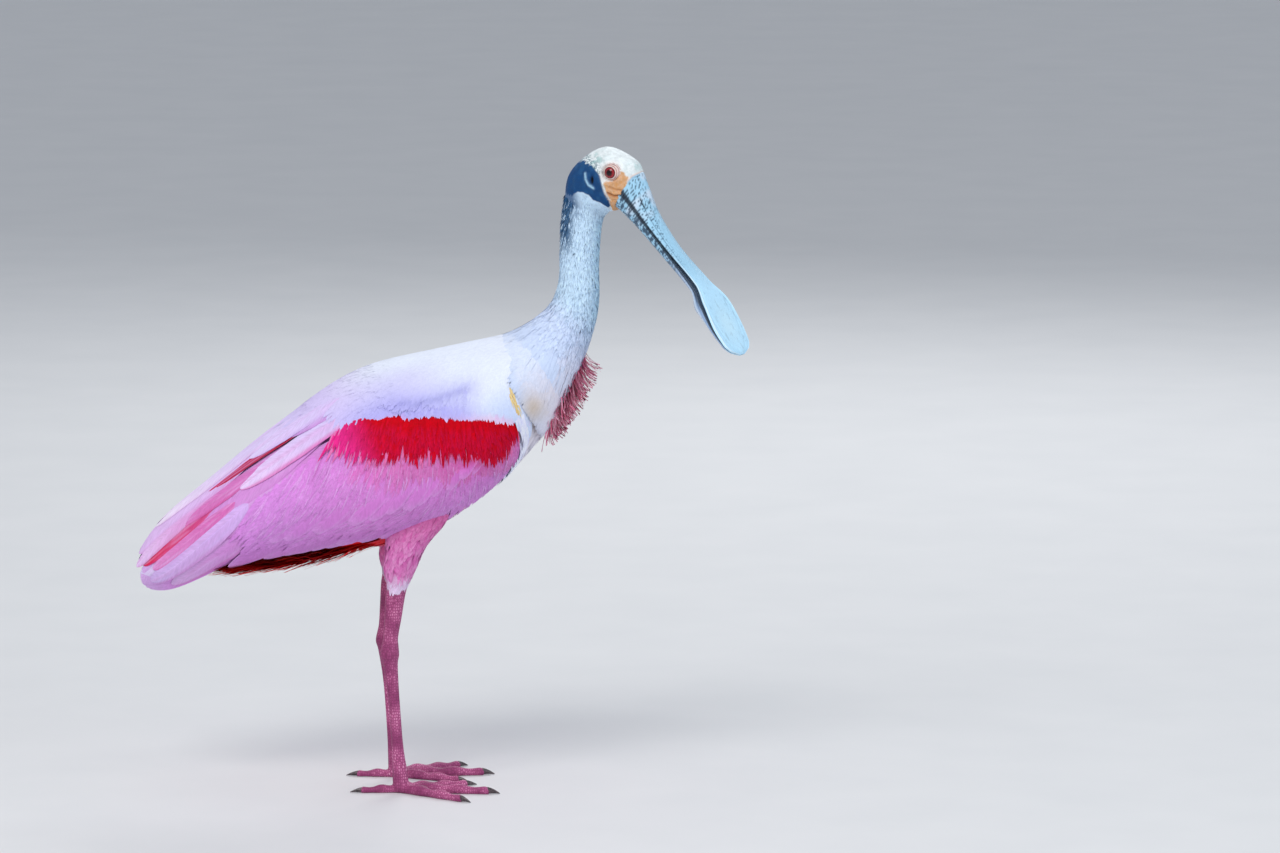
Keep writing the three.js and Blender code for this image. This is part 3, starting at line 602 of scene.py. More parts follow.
def featherMaterial(name, fineness, contrast, shaft, depth, gloss):
    material, tree, shader = newMaterial(name, 0.65, gloss)
    given = {"Fineness": fineness, "Contrast": contrast, "Shaft": shaft,
             "Tint": attribute(tree, "tint", "Color"), "Lie": attribute(tree, "lie", "Vector")}
    group = put(tree, "ShaderNodeGroup", node_tree=barbs)
    setInputs(tree, group, given)
    colour, height, rough = (group.outputs[label] for label in ("Color", "Height", "Roughness"))
    finished(tree, shader, colour, rough, height, strength=0.5, depth=depth)
    return material


def skinMaterial(name, roughness, cell, swell, depth, mottle, coat):
    material, tree, shader = newMaterial(name, roughness, gloss=0.16, coat=coat, coatRoughness=0.4)
    group = put(tree, "ShaderNodeGroup", node_tree=grain)
    setInputs(tree, group, {"Cell": cell, "Swell": swell})
    mottled = group.outputs["Mottle"]
    swing = ramp(tree, mottled, 0.3, 0.7, 1.0 - mottle, 1.0 + 0.4 * mottle)
    darker = less(tree, swing, times(tree, group.outputs["Crease"], 0.5 * mottle))
    colour = brightened(tree, attribute(tree, "tint", "Color"), darker)
    rough = ramp(tree, mottled, 0.3, 0.7, roughness - 0.1, roughness + 0.1)
    finished(tree, shader, colour, rough, group.outputs["Height"], strength=0.6, depth=depth)
    return material


# Horn of the bill: fine scratches along it and small pits, from the piece's own across and along lengths
def hornMaterial():
    material, tree, shader = newMaterial("billHorn", 0.48, gloss=0.3, coat=0.12, coatRoughness=0.3)
    lie = attribute(tree, "lie", "Vector")
    stretched = put(tree, "ShaderNodeMapping", {"Vector": lie, "Scale": (1.6, 0.22, 1.0)}).outputs[0]
    scratches = clouds(tree, stretched, 1.1, 5.0)
    flecks = clouds(tree, lie, 0.8, 3.0)
    wear = sumOf(tree, times(tree, scratches, 0.6), times(tree, flecks, 0.4))
    colour = brightened(tree, attribute(tree, "tint", "Color"), ramp(tree, wear, 0.36, 0.6, 0.93, 1.04))
    rough = ramp(tree, scratches, 0.3, 0.7, 0.34, 0.58)
    finished(tree, shader, colour, rough, wear, strength=0.35, depth=0.0004)
    return material


def eyeMaterial():
    material, tree, shader = newMaterial("eyeWet", 0.15, gloss=0.25, coat=0.25, coatRoughness=0.02)
    fibres = clouds(tree, attribute(tree, "lie", "Vector"), 1.0, 2.0)
    colour = brightened(tree, attribute(tree, "tint", "Color"), ramp(tree, fibres, 0.35, 0.65, 0.75, 1.2))
    finished(tree, shader, colour, None, fibres, strength=0.08, depth=0.0001)
    return material


def opaque(r, g, b):
    return (*paint(r, g, b), 1)


# Scaled skin of the legs: six-sided scutes with pale middles in patches and dark seams
def legMaterial():
    material, tree, shader = newMaterial("legSkin", 0.55, gloss=0.25)
    place = objectPlace(tree)
    flat = put(tree, "ShaderNodeMapping", {"Vector": place, "Scale": (1.0, 1.0, 0.75)}).outputs[0]
    scales = {"Vector": flat, "Scale": 560.0, "Randomness": 0.6}
    seams = put(tree, "ShaderNodeTexVoronoi", scales, feature="DISTANCE_TO_EDGE").outputs["Distance"]
    crest = ramp(tree, seams, 0.02, 0.3)
    stain = clouds(tree, place, 55.0, 5.0)
    base = blended(tree, ramp(tree, stain, 0.35, 0.65), opaque(150, 62, 112), opaque(196, 98, 150))
    paleMiddles = times(tree, ramp(tree, seams, 0.16, 0.45), ramp(tree, stain, 0.4, 0.7))
    base = blended(tree, paleMiddles, base, opaque(226, 164, 194))
    base = blended(tree, ramp(tree, crest, 0.0, 0.5, 0.6, 0.0), base, opaque(112, 42, 80))
    height = sumOf(tree, crest, times(tree, clouds(tree, place, 1800.0, 2.0), 0.15))
    finished(tree, shader, base, ramp(tree, stain, 0.3, 0.7, 0.42, 0.62), height, strength=0.6, depth=0.0004)
    return material


def clawMaterial():
    material, tree, shader = newMaterial("clawHorn", 0.35, coat=0.3)
    growth = clouds(tree, objectPlace(tree), 700.0, 4.0)
    base = blended(tree, ramp(tree, growth, 0.35, 0.7), opaque(34, 28, 32), opaque(96, 78, 84))
    finished(tree, shader, base, ramp(tree, growth, 0.3, 0.7, 0.28, 0.5), growth, strength=0.4, depth=0.0002)
    return material


# feathers: fineness and contrast of the barbs, strength of the shaft, bump in m, gloss
feathers = dict(
    softDown=(2.2, 0.08, 0.0, 0.0001, 0.12), bodyFeather=(1.8, 0.07, 0.0, 0.00012, 0.12),
    pinkFeather=(1.7, 0.14, 0.0, 0.00016, 0.06), flightFeather=(1.3, 0.1, 0.6, 0.00018, 0.1),
)
softDown, bodyFeather, pinkFeather, flightFeather = (featherMaterial(k, *feathers[k]) for k in feathers)
bareSkin = skinMaterial("bareSkin", 0.6, cell=1100.0, swell=260.0, depth=0.0004, mottle=0.14, coat=0.03)
hornFinish, eyeFinish, legFinish, clawFinish = hornMaterial(), eyeMaterial(), legMaterial(), clawMaterial()
print("finishes ready")

# Colours of the bird, as named places of its plumage and skin
palette = dict(
    mantle=(226, 232, 246), mantleMid=(209, 206, 242), mantleRear=(214, 199, 243),
    # lavender is also painted shade on the wing, and foldShade is painted shade in the crease of its fold
    lavender=(170, 166, 234), foldShade=(142, 140, 212), crimson=(196, 0, 22),
    rearPink=(226, 44, 136), pink=(217, 131, 214), forePink=(219, 114, 202),
    lowPink=(200, 130, 206), rear=(216, 138, 222), wisp=(230, 190, 242), tip=(214, 184, 234),
    undertail=(222, 16, 22), undertailLight=(228, 48, 42), flank=(222, 158, 206),
    # the neck's pale blue, here and on the next line, is painted skylight on white down, and the first colour
    # on the next line is bluer as painted shade on the neck's front
    breast=(226, 222, 236), neckBase=(203, 217, 244), neck=(202, 228, 250),
    neckFront=(190, 228, 255), speck=(120, 150, 182), crown=(238, 246, 248),
    # the last colour here is painted shade in the head's skin folds
    green=(146, 190, 190), navy=(20, 70, 122), orange=(216, 156, 96), fold=(168, 96, 44),
    lid=(238, 196, 176), horn=(160, 206, 232), hornPale=(186, 230, 255),
    # the last colour here is painted shade of the lower jaw
    hornPink=(214, 222, 236), hornDark=(34, 58, 84), hornLow=(128, 152, 196),
    # the second colour here is partly painted highlight on the edges of the tuft's strands
    tawny=(252, 190, 130), tuftPale=(244, 204, 218), shoulder=(194, 209, 245), stain=(206, 188, 168),
    # the third colour here is painted shade in the ear's pit
    navyLight=(46, 98, 144), dot=(48, 104, 122), earHole=(16, 18, 24), lidEdge=(120, 52, 50),
    # the second colour here is painted shade in the lid's grooves
    lidPale=(238, 206, 196), lidGroove=(176, 84, 80), irisDark=(74, 8, 14), irisLight=(156, 40, 46),
    # the last colour here is painted shade in the nostril
    pupil=(26, 3, 8), eyeRim=(28, 6, 10), spoonShine=(206, 240, 255), nostril=(12, 18, 30),
    # the second colour here is painted shade in the gap of the mouth
    hornEdge=(234, 246, 252), mouthDark=(22, 34, 52), wispPale=(236, 196, 244), wispDeep=(206, 84, 172),
    plumeLight=(234, 128, 190), bandOver=(240, 186, 222), gold=(212, 164, 70), goldPale=(236, 214, 160),
    rimShade=(200, 198, 242), rimLight=(238, 240, 252), bodyGrey=(196, 196, 214), cape=(200, 213, 240),
    capeBuff=(196, 176, 152), napeDark=(26, 78, 122), tuftDeep=(186, 30, 86), tuftLight=(232, 112, 160),
    thigh=(211, 102, 175), thighPale=(224, 146, 200), thighTop=(206, 84, 150), cuff=(232, 216, 244),
    tailEdge=(176, 92, 60), tailTip=(255, 224, 178),
)
paints = SimpleNamespace(**{name: paint(*shade) for name, shade in palette.items()})

# Edges of the wing's colours: degrees from the midline against the station along the wing
wingEdges = dict(
    mantle=((0, 0.2, 0.41, 0.61, 0.98, 1.3, 1.53, 1.66, 2.24, 2.6, 3.1, 3.5, 4, 6),
            (116, 111, 102, 90, 80, 70, 66, 59, 56, 48, 35, 28, 20, 8)),
    crimsonTop=((0.3, 0.41, 0.61, 0.98, 1.3, 1.53, 1.66, 2.03, 2.24, 2.5),
                (112, 104, 92, 82, 72, 68, 62, 60, 62, 66)),
    crimsonLow=((0.3, 0.59, 0.79, 0.99, 1.2, 1.42, 1.62, 1.85, 2.0, 2.15, 2.28, 2.5),
                (128, 136, 131, 118, 108, 103, 97, 93, 89, 84, 77, 70)),
    fold=[(0.75, 62), (1.03, 61), (1.22, 60), (1.39, 59), (1.55, 55)],
    front=((0.28, 0.28, 0.35, 0.43, 0.72, 1.04, 1.25), (0, 96, 122, 136.5, 155.5, 171, 180)),
)


def edgeAt(name, w):
    return np.interp(w, *wingEdges[name])


# Station of the wing's front edge at some degrees from its midline
def frontEdge(d):
    stations, degrees = wingEdges["front"]
    return np.interp(d, degrees, stations)


# Crimson band, from 0 outside to 1 inside, with soft in degrees as the width of its lower edge
def crimsonMask(w, d, soft=6):
    top, low = edgeAt("crimsonTop", w), edgeAt("crimsonLow", w)
    ends = ease(w, 0.3, 0.4) * fade(w, 2.3, 2.6)
    return ease(d, top - 1.5, top + 2) * fade(d, low - soft, low + 0.6 * soft) * ends


# Colour of the folded wing at a station and degrees from the midline, with painted shade along the lower edge
# of the white and about the crease of the fold
def wingTint(w, degrees):
    p, d = paints, np.abs(degrees)
    edge = edgeAt("mantle", w)
    pink = layered(
        blend(p.forePink, p.pink, ease(w, 0.9, 1.8)),
        (p.rear, ease(w, 2.2, 3.6)),
        (p.lowPink, ease(d, 116, 150) * fade(w, 3, 4.5)),
        (p.tip, ease(w, 4.6, 5.4)),
        (p.lavender, bump(w - 0.3, 0.13) * ease(d, 100, 112) * 0.85),
        (blend(p.crimson, p.rearPink, ease(w, 1.8, 2.35)), crimsonMask(w, d)),
    )
    # Painted shade: lavender along the lower edge of the white, where it lies over the pink and crimson
    shadeStrip = bump(d - edge + 2, 13) * ease(w, 0.5, 1.0) * (1 - 0.6 * ease(w, 1.9, 2.4))
    stretch = 55  # a station in the units of a degree, for the distance to the fold
    fold = awayFrom(w * stretch, d, [(s * stretch, e) for s, e in wingEdges["fold"]])
    white = layered(
        blend(p.mantle, p.mantleMid, ease(w, 0.7, 1.5) * ease(d, 12, 40)),
        (p.mantleRear, ease(w, 1.5, 2.5)),
        (p.shoulder, bump(w - 0.4, 0.35) * ease(d, 66, 92) * 0.8),
        (p.lavender, shadeStrip * 0.85),
        # Painted shade: lavender about the crease of the fold, darker along its line
        (p.lavender, bump(fold, 12) * 0.6),
        (p.foldShade, bump(fold, 3.0) * 0.8),
    )
    return blend(pink, white, fade(d, edge - 2, edge + 2))


# Way the feathers of the wing lie, in degrees from its length toward its lower edge
def wingFlow(w, degrees):
    d = np.abs(degrees)
    steep = np.interp(w, (-0.4, 0.5, 1.4, 2.0, 2.7, 3.6), (76, 72, 64, 54, 40, 28))
    steep = mix(steep, 17, ease(d, 104, 128) * ease(w, 1.3, 2.1))
    alongEdge = np.minimum(steep, np.interp(d, (96, 125, 140, 170), (80, 70, 54, 40)))
    steep = mix(steep, alongEdge, fade(w - frontEdge(d), 0.15, 0.5))
    top = edgeAt("mantle", w)
    return mix(5, steep, ease(d, 0.3 * top, 1.05 * top))


# Colour of the body under and over its feathers
def bodyTint(u, degrees):
    p, d = paints, np.abs(degrees)
    front = ease(d, 90, 120)
    return layered(
        blend(p.flank, p.breast, ease(u, 2.6, 3.5)),
        (p.mantle, fade(d, 60, 95)),
        (p.undertail, ease(d, 96, 124) * fade(u, 1.7, 2.3)),
        (p.rearPink, fade(u, 0.2, 0.8) * fade(d, 50, 90)),
        (p.stain, bump(u - 4.05, 0.3) * bump(d - 112, 22) * 0.8),
        (p.neckBase, ease(u, mix(4.1, 4.4, front), mix(5.0, 5.7, front))),
        # the neck's pale blue is painted skylight on white down, bluer on its front as painted shade
        (blend(p.neck, p.neckFront, ease(d, 110, 165) * 0.8), ease(u, 5.3, 6.2)),
    )


# Markings of the head in its side view before it is turned: outlines and lines of x, z
marks = dict(
    navy=[(138, 500), (142, 514), (152, 523.5), (164.8, 526.2), (172.3, 523.4), (179.7, 519), (183.9, 515),
          (185.9, 509.4), (187.4, 502.5), (189.6, 496), (189, 488.8), (186.5, 488.2), (181.1, 492.2),
          (174.6, 494), (171.6, 498.3), (165.4, 500.2), (159.8, 500.3), (151.9, 496.4)],
    orange=[(196.5, 512.4), (198.9, 515.2), (200.2, 518.6), (203.2, 518), (206.3, 514.4), (206.5, 509.8),
            (204.5, 503.8), (202, 499.7), (199.5, 494), (191, 480), (186.5, 484), (188.1, 487.1),
            (189.4, 494.7), (187.9, 501.6), (186.4, 508.6), (188.6, 511.2), (192.2, 510.9)],
    horn=[(216, 521), (212.5, 517.4), (208.9, 515.2), (206.4, 511.5), (205.4, 505.6), (202, 500.6),
          (215, 495), (228, 510)],
    hornRim=[(214, 518.5), (208.9, 515.2), (206.4, 511.5)],
    pale=[(184.6, 516), (186, 509.4), (187.6, 502.5), (190, 495.5)],
    orangeFold=[(199.5, 498.9), (194.5, 498.4), (190, 500.8)],
    cheekFold=[(203, 503.5), (197, 504), (191.5, 506)],
    jawFold=[(186.8, 506.8), (187.9, 501.6), (189.4, 494.7), (188.1, 487.1)],
    earRim=[(168.8, 516), (169.6, 511.5), (172.4, 507), (177.2, 504.6)],
    brow=[(184.5, 527), (192, 529.2), (201, 527)],
)
ear = dict(x=175.4, z=511, halfWide=1.5, halfTall=3.6, depth=3.0)


def awayFromMark(x, z, name):
    return awayFrom(x, z, marks[name])


def earPit(x, z):
    return np.exp(-(((x - ear["x"]) / ear["halfWide"]) ** 2) - ((z - ear["z"]) / ear["halfTall"]) ** 2)


# Height of the folds, rims and hollows of the head over the plain hull, in mm
def headRelief(x, z):
    orangeFold, jawFold = awayFromMark(x, z, "orangeFold"), awayFromMark(x, z, "jawFold")
    high = 0.5 * bump(awayFromMark(x, z, "brow"), 3.5) + 0.8 * bump(awayFromMark(x, z, "earRim"), 1.2)
    high = high + 0.45 * bump(orangeFold - 1.9, 0.9)
    high = high + 0.35 * bump(jawFold - 1.5, 0.9)
    low = 1.1 * bump(orangeFold, 0.75) + 0.6 * bump(awayFromMark(x, z, "cheekFold"), 0.7)
    low = low + 0.7 * bump(jawFold, 0.7) + ear["depth"] * earPit(x, z)
    socket = 3.2 * fade(np.hypot(x - eyes["x"], z - eyes["z"]), 6.0, 7.8)
    return high - low - socket


# Colour of the bare head, from the same outlines, with painted shade in its skin folds and in the ear's pit
def headTint(point):
    p, x, z = paints, point[..., 0], point[..., 2]
    fleck, blotch, speckle = noise(point, 1.3, 5), noise(point, 4.0, 9), noise(point, 0.95, 6)
    rough = (fleck - 0.5) * 3.2 + (blotch - 0.5) * 2.4
    greenish = bump(np.hypot(x - 178, z - 526), 9) + 0.7 * bump(np.hypot(x - 209, z - 522.5), 5)
    above = np.clip(ease(z, 502, 512) + 1 - ease(x, 148, 158), 0, 1) * fade(x, 172, 184)
    inBand = insideBy(x, z, marks["navy"])
    navy = ease(inBand + rough * above + 0.15 * rough, -0.7, 0.7)
    dots = ease(speckle, 0.52, 0.62) * ease(z, 508, 516) * fade(-inBand, 1, 9) * (1 - navy)
    nape = fade(x, 150, 164) * ease(fleck + 0.5 * ease(z, 484, 498), 0.42, 0.6) * ease(z, 462, 480)
    nape = nape * fade(z, 512, 520)
    orange = ease(insideBy(x, z, marks["orange"]) + 0.4 * rough, -0.6, 0.9)
    fromEye = np.hypot(x - eyes["x"], z - eyes["z"])
    return layered(
        np.broadcast_to(p.crown, x.shape + (3,)),
        (p.green, greenish * ease(blotch * 0.6 + fleck * 0.4, 0.35, 0.62) * 0.75),
        (blend(p.navy, p.navyLight, 0.4 * ease(blotch, 0.4, 0.8)), navy),
        (p.dot, dots * 0.9 * fade(x, 180, 190)),
        (p.neck, (1 - navy) * fade(z, 500, 506) * fade(x, 184, 190)),
        (p.navy, nape * 0.85),
        (p.orange, orange * (0.8 + 0.2 * fleck)),
        (p.crown, bump(awayFromMark(x, z, "pale"), 1.0) * 0.85),
        # painted shade: dark brown in the creases of the orange and cheek folds
        (p.fold, 0.75 * bump(awayFromMark(x, z, "orangeFold"), 1.3)),
        (p.fold, 0.45 * bump(awayFromMark(x, z, "cheekFold"), 0.9)),
        (p.horn, ease(insideBy(x, z, marks["horn"]), -0.5, 0.5)),
        (p.lid, 0.6 * bump(awayFromMark(x, z, "hornRim"), 0.8)),
        (p.lid, 0.2 * bump(fromEye - 8, 1.6)),
        (p.hornPale, bump(awayFromMark(x, z, "earRim"), 1.1) * 0.75),
        # painted shade: near-black in the ear's pit
        (p.earHole, ease(earPit(x, z), 0.25, 0.7)),
    )


# Skin of torso, neck and head in one: the hull, sunk by the depth of the coat and raised by the folds
skin = dict(
    torsoDepth=3.0, neckDepth=1.5, sides=212,
    stations=np.concatenate([np.linspace(*run) for run in ((0, 4.2, 44), (4.28, 8.1, 62), (8.13, 12, 118))]),
)


def skinDepth(u):
    return mix(mix(skin["torsoDepth"], skin["neckDepth"], ease(u, 4.2, 5.6)), 0, ease(u, 7.9, 8.9))


# Closed tube of rings of points as a piece, with its colours and lengths carried on to its ends
def tubePiece(name, ring, material, slot, replaces, tone, lie=None):
    rings, fans = tubeFaces(*ring.shape[:2])
    lie = None if lie is None else withHubs(lie)
    return meshFrom(name, withHubs(ring), [rings, fans], material, slot, replaces, withHubs(tone), lie)


def makeBodySkin():
    u, d = spread(skin["stations"], np.linspace(-180, 180, skin["sides"], endpoint=False))
    ground, normal, _, _ = frameOn(bodyCoat, u, d)
    straight = straightBody(u, d)
    height = -skinDepth(u) + ease(u, 8.3, 8.9) * headRelief(straight[..., 0], straight[..., 2])
    points = ground + normal * height[..., None]
    tint = blend(bodyTint(u, d), headTint(straight), ease(u, 7.9, 8.3))
    nodes = ("torso", "neck_lower", "neck_upper", "head")
    return tubePiece("skin_body", points, bareSkin, "head_skin", nodes, tint), points


skinBody, skinPoints = makeBodySkin()
print("skin of body and head:", len(skinBody.data.polygons), "faces")


# Eyelids: rings about the eye, from the rim on the ball out to the skin, with fine concentric folds
lids = dict(inner=4.75, outer=8.9, folds=(5.55, 6.55, 7.5), foldHeight=0.42, thick=1.4, corner=205,
            rings=34, sides=80)


def makeLids(side, name):
    share = np.linspace(0, 1, lids["rings"])[:, None]
    angle = roundTurn(lids["sides"])[None, :]
    fromCorner = np.abs(np.angle(np.exp(1j * (angle - math.radians(lids["corner"])))))
    r = mix(lids["inner"], lids["outer"], share) + bump(fromCorner, 0.35) * 0.5 * (1 - share)
    x = eyes["x"] + r * np.cos(angle)
    z = eyes["z"] + r * np.sin(angle) * 0.97

    # the skin round the eye, so that the lids end on it
    onHead = skinPoints[skin["stations"] > 9.2].reshape(-1, 3)
    back = turned(onHead, -body["turn"])
    away = np.hypot(back[:, 0] - eyes["x"], back[:, 2] - eyes["z"])
    near = back[(np.sign(back[:, 1]) == side) & (away > 7.9) & (away < 12)]
    gap = (x[..., None] - near[:, 0]) ** 2 + (z[..., None] - near[:, 2]) ** 2
    weight = 1 / (gap + 0.3) ** 3
    skinOut = np.abs((weight * near[:, 1]).sum(-1) / weight.sum(-1))

    ball = eyes["out"] + np.sqrt(np.clip(eyes["radius"] ** 2 - r**2, 1, None))
    lid = ball + 0.75 * np.sin(np.pi * np.clip(share / 0.22, 0, 0.5))
    out = mix(lid, skinOut, ease(r, 6.2, 8.7)) - 0.5 * ease(share, 0.93, 1.0)
    fold = sum(bump(r - at, 0.3) for at in lids["folds"]) * lids["foldHeight"]
    out = out + fold * (0.75 + 0.25 * np.cos(angle * 2 + 0.5))
    out = np.where(share < 0.02, ball - 0.9, out)
    points = turned(np.stack([x, side * out, z], -1))
    pivot = np.array([body["pivotX"], 0.0, 0.0])
    inward = turned(pivot + (0.0, side * lids["thick"], 0.0)) - turned(pivot)
    ring = np.concatenate([points, points[::-1] - inward])
    grooves = sum(bump(r - at - 0.5, 0.22) for at in lids["folds"])
    tone = layered(
        headTint(np.stack([x, 0 * x, z], -1)),
        (paints.lid, 0.55 * bump(r - 6.0, 1.4)),
        (paints.lidEdge, bump(r - lids["inner"], 0.3) * 0.9),
        (paints.lidPale, 0.7 * bump(r - 5.5, 0.35) + 0.4 * bump(r - 6.9, 0.35)),
        # painted shade: darker red in the grooves between the lid's folds
        (paints.lidGroove, np.clip(grooves, 0, 1) * 0.8),
    )
    tone = np.concatenate([tone, tone[::-1]])
    rows, sides = ring.shape[:2]
    here = np.arange(rows)[:, None]
    quads = ringQuads(here * sides, (here + 1) % rows * sides, sides)
    return meshFrom(f"lids_{name}", ring, [quads], bareSkin, "head_skin", (), tone)


# Eye: a ball whose pole looks out of the head, with pupil, iris and a dark rim by the angle from the pole
iris = dict(pupil=17, edge=43, rim=48)


def makeEye(side, name):
    polar = np.radians(np.concatenate([np.linspace(1, 60, 40), np.linspace(64, 179, 24)]))[:, None]
    angle = roundTurn(64)[None, :]
    bulge = eyes["radius"] + 0.25 * bump(np.degrees(polar), 30)
    x = eyes["x"] + bulge * np.sin(polar) * np.cos(angle)
    z = eyes["z"] + bulge * np.sin(polar) * np.sin(angle)
    y = side * (eyes["out"] + bulge * np.cos(polar)) + 0 * angle
    fromPole = np.degrees(polar) + 0 * angle
    tone = layered(
        blend(paints.irisDark, paints.irisLight, bump(fromPole - 31, 7)),
        (paints.pupil, fade(fromPole, iris["pupil"] - 1.5, iris["pupil"] + 1.5)),
        (paints.eyeRim, ease(fromPole, iris["edge"] - 2, iris["rim"])),
    )
    flat = 0 * polar * angle
    fibres = np.stack([np.cos(angle) * 9 + flat, np.sin(angle) * 9 + flat, np.degrees(polar) / 14 + flat], -1)
    points = turned(np.stack([x, y, z], -1))
    return tubePiece(f"eyeball_{name}", points, eyeFinish, "eye", (f"eye_{name}",), tone, fibres)


for side, name in bothSides:
    makeLids(side, name)
    makeEye(side, name)
print("eyes and lids ready")

# Bill along the line of the mouth, seen from the side with the head straight
bill = dict(
    mouth=[(201.7, 0, 500.9), (239, 0, 458), (275, 0, 420), (292, 0, 394), (306, 0, 372.5)],
    # share of the length, half width, height above and depth below the line
    rows=[(0, 13.5, 19.5, 16.5), (0.17, 12.3, 9, 12), (0.37, 11.2, 5, 9.5), (0.6, 13, 3.8, 8.5),
          (0.7, 21.5, 3.4, 12), (0.84, 24.5, 3, 5), (0.94, 21.5, 2.4, 3.2), (0.975, 15.5, 1.9, 2.4),
          (1, 3.5, 0.9, 1.1)],
    gap=3.6, stations=150, columns=61,
    nostril=dict(share=0.105, halfLong=0.04, aside=0.72, halfWide=0.055, depth=1.7),
    groove=((0, 0.15, 0.5, 0.75, 1), (0.7, 0.76, 0.8, 0.86, 0.5)),  # share of the length, share of the width
    ridges=2.9, tickRows=2.3,  # spacing in mm
)
mouthCurve = along(bill["mouth"], np.linspace(0, 4, 600))
mouthSteps = np.concatenate([[0], np.cumsum(np.linalg.norm(np.diff(mouthCurve, axis=0), axis=1))])
billLong = mouthSteps[-1]


def mouthAt(share):
    clipped = np.clip(share, 0, 1) * billLong
    point = np.stack([np.interp(clipped, mouthSteps, mouthCurve[:, k]) for k in range(3)], -1)
    ahead = np.gradient(mouthCurve, axis=0)
    ahead = np.stack([np.interp(clipped, mouthSteps, ahead[:, k]) for k in range(3)], -1)
    ahead /= np.linalg.norm(ahead, axis=-1, keepdims=True)
    last = body["rows"][-1]
    rootUp = np.array([last[0] - last[2], 0, last[1] - last[3]], float)
    rootUp /= np.linalg.norm(rootUp)
    up = np.stack([-ahead[..., 2], 0 * share, ahead[..., 0]], -1)
    up = up + (rootUp - up) * np.clip(1 - share / 0.17, 0, 1)[..., None]
    up /= np.linalg.norm(up, axis=-1, keepdims=True)
    return point + ahead * (share - np.clip(share, 0, 1))[..., None] * billLong, up


# Hollow of the nostril, from 0 to 1, spread by the two factors
def nostrilPit(s, aside, longer=1, wider=1):
    n = bill["nostril"]
    return bump((s - n["share"]) / n["halfLong"], longer) * bump((aside - n["aside"]) / n["halfWide"], wider)


# Points of a plane, for the noise
def flat3(a, b):
    return np.stack([a, b, 0 * a], -1)


# One half of the bill: rise over the mouth line = edge + (height - edge) x arch of the width, plus relief
def makeBill(over):
    rows = np.array(bill["rows"])
    s, v = spread(np.linspace(-0.008, 1, bill["stations"]), np.linspace(-1, 1, bill["columns"]))
    v = np.sin(v * math.pi / 2)
    aside, out = np.abs(v), 1 if over else -1
    point, up = mouthAt(s)
    size = along(rows, np.interp(s, rows[:, 0], np.arange(len(rows))))
    half, height = size[..., 1], (size[..., 2] if over else -size[..., 3])
    edge = 0.5 * out * (0.3 + bill["gap"] * np.sin(np.pi * np.clip(s, 0, 1) ** 1.6) ** 2)
    arch = (1 - aside ** mix(2.0, 3.2, ease(s, 0.58, 0.72))).clip(0) ** 0.5
    waver = 1.6 * np.cos(v * 3) + 2 * noise(flat3(s * 30, v * 3), 1, 3)
    ripple = np.sin(2 * np.pi * s * billLong / bill["ridges"] + waver)
    relief = 0.28 * ripple * fade(s, 0.12, 0.42) * bump(aside - 0.6, 0.42) * ease(s, 0.0, 0.03)
    relief = relief + 0.55 * bump(aside - 0.94, 0.045) * ease(s, 0.3, 0.7)
    relief = relief - 1.0 * (1 - (v / 0.9) ** 2).clip(0) * ease(s, 0.64, 0.8) * fade(s, 0.93, 1.0)
    if over:
        relief = relief - 0.5 * bump(aside - np.interp(s, *bill["groove"]), 0.035) * ease(s, 0.12, 0.16)
        relief = relief + 0.5 * bump(v, 0.22) * fade(s, 0.4, 0.62)
        relief = relief + 0.7 * bump(v, 0.2) * bump(s - 0.985, 0.02)
        relief = relief - bill["nostril"]["depth"] * nostrilPit(s, aside)
    rise = edge + (height - edge) * arch + out * relief * (arch > 0)
    grown = 1 + 0.03 * fade(s, 0, 0.02)
    side = half * v * grown
    sideways = np.array([0, 1, 0]) * side[..., None]
    points = point + up * (rise * grown)[..., None] + sideways
    under = point + up * edge[..., None] + sideways
    points[:, [0, -1]] = under[:, [0, -1]]
    ring = turned(np.concatenate([points, under[:, -2:0:-1]], 1))
    tone = billTint(s, v, side, over)
    # Painted shade: the inner face along the mouth takes the horn's colour much darker
    tone = np.concatenate([tone, 0.45 * tone[:, -2:0:-1]], 1)
    lie = np.stack([side, s * billLong, 0 * s + (0 if over else 50)], -1)
    lie = np.concatenate([lie, lie[:, -2:0:-1]], 1)
    jaw = "upper" if over else "lower"
    return tubePiece(f"horn_{jaw}", ring, hornFinish, "bill_horn", (f"bill_{jaw}",), tone, lie)


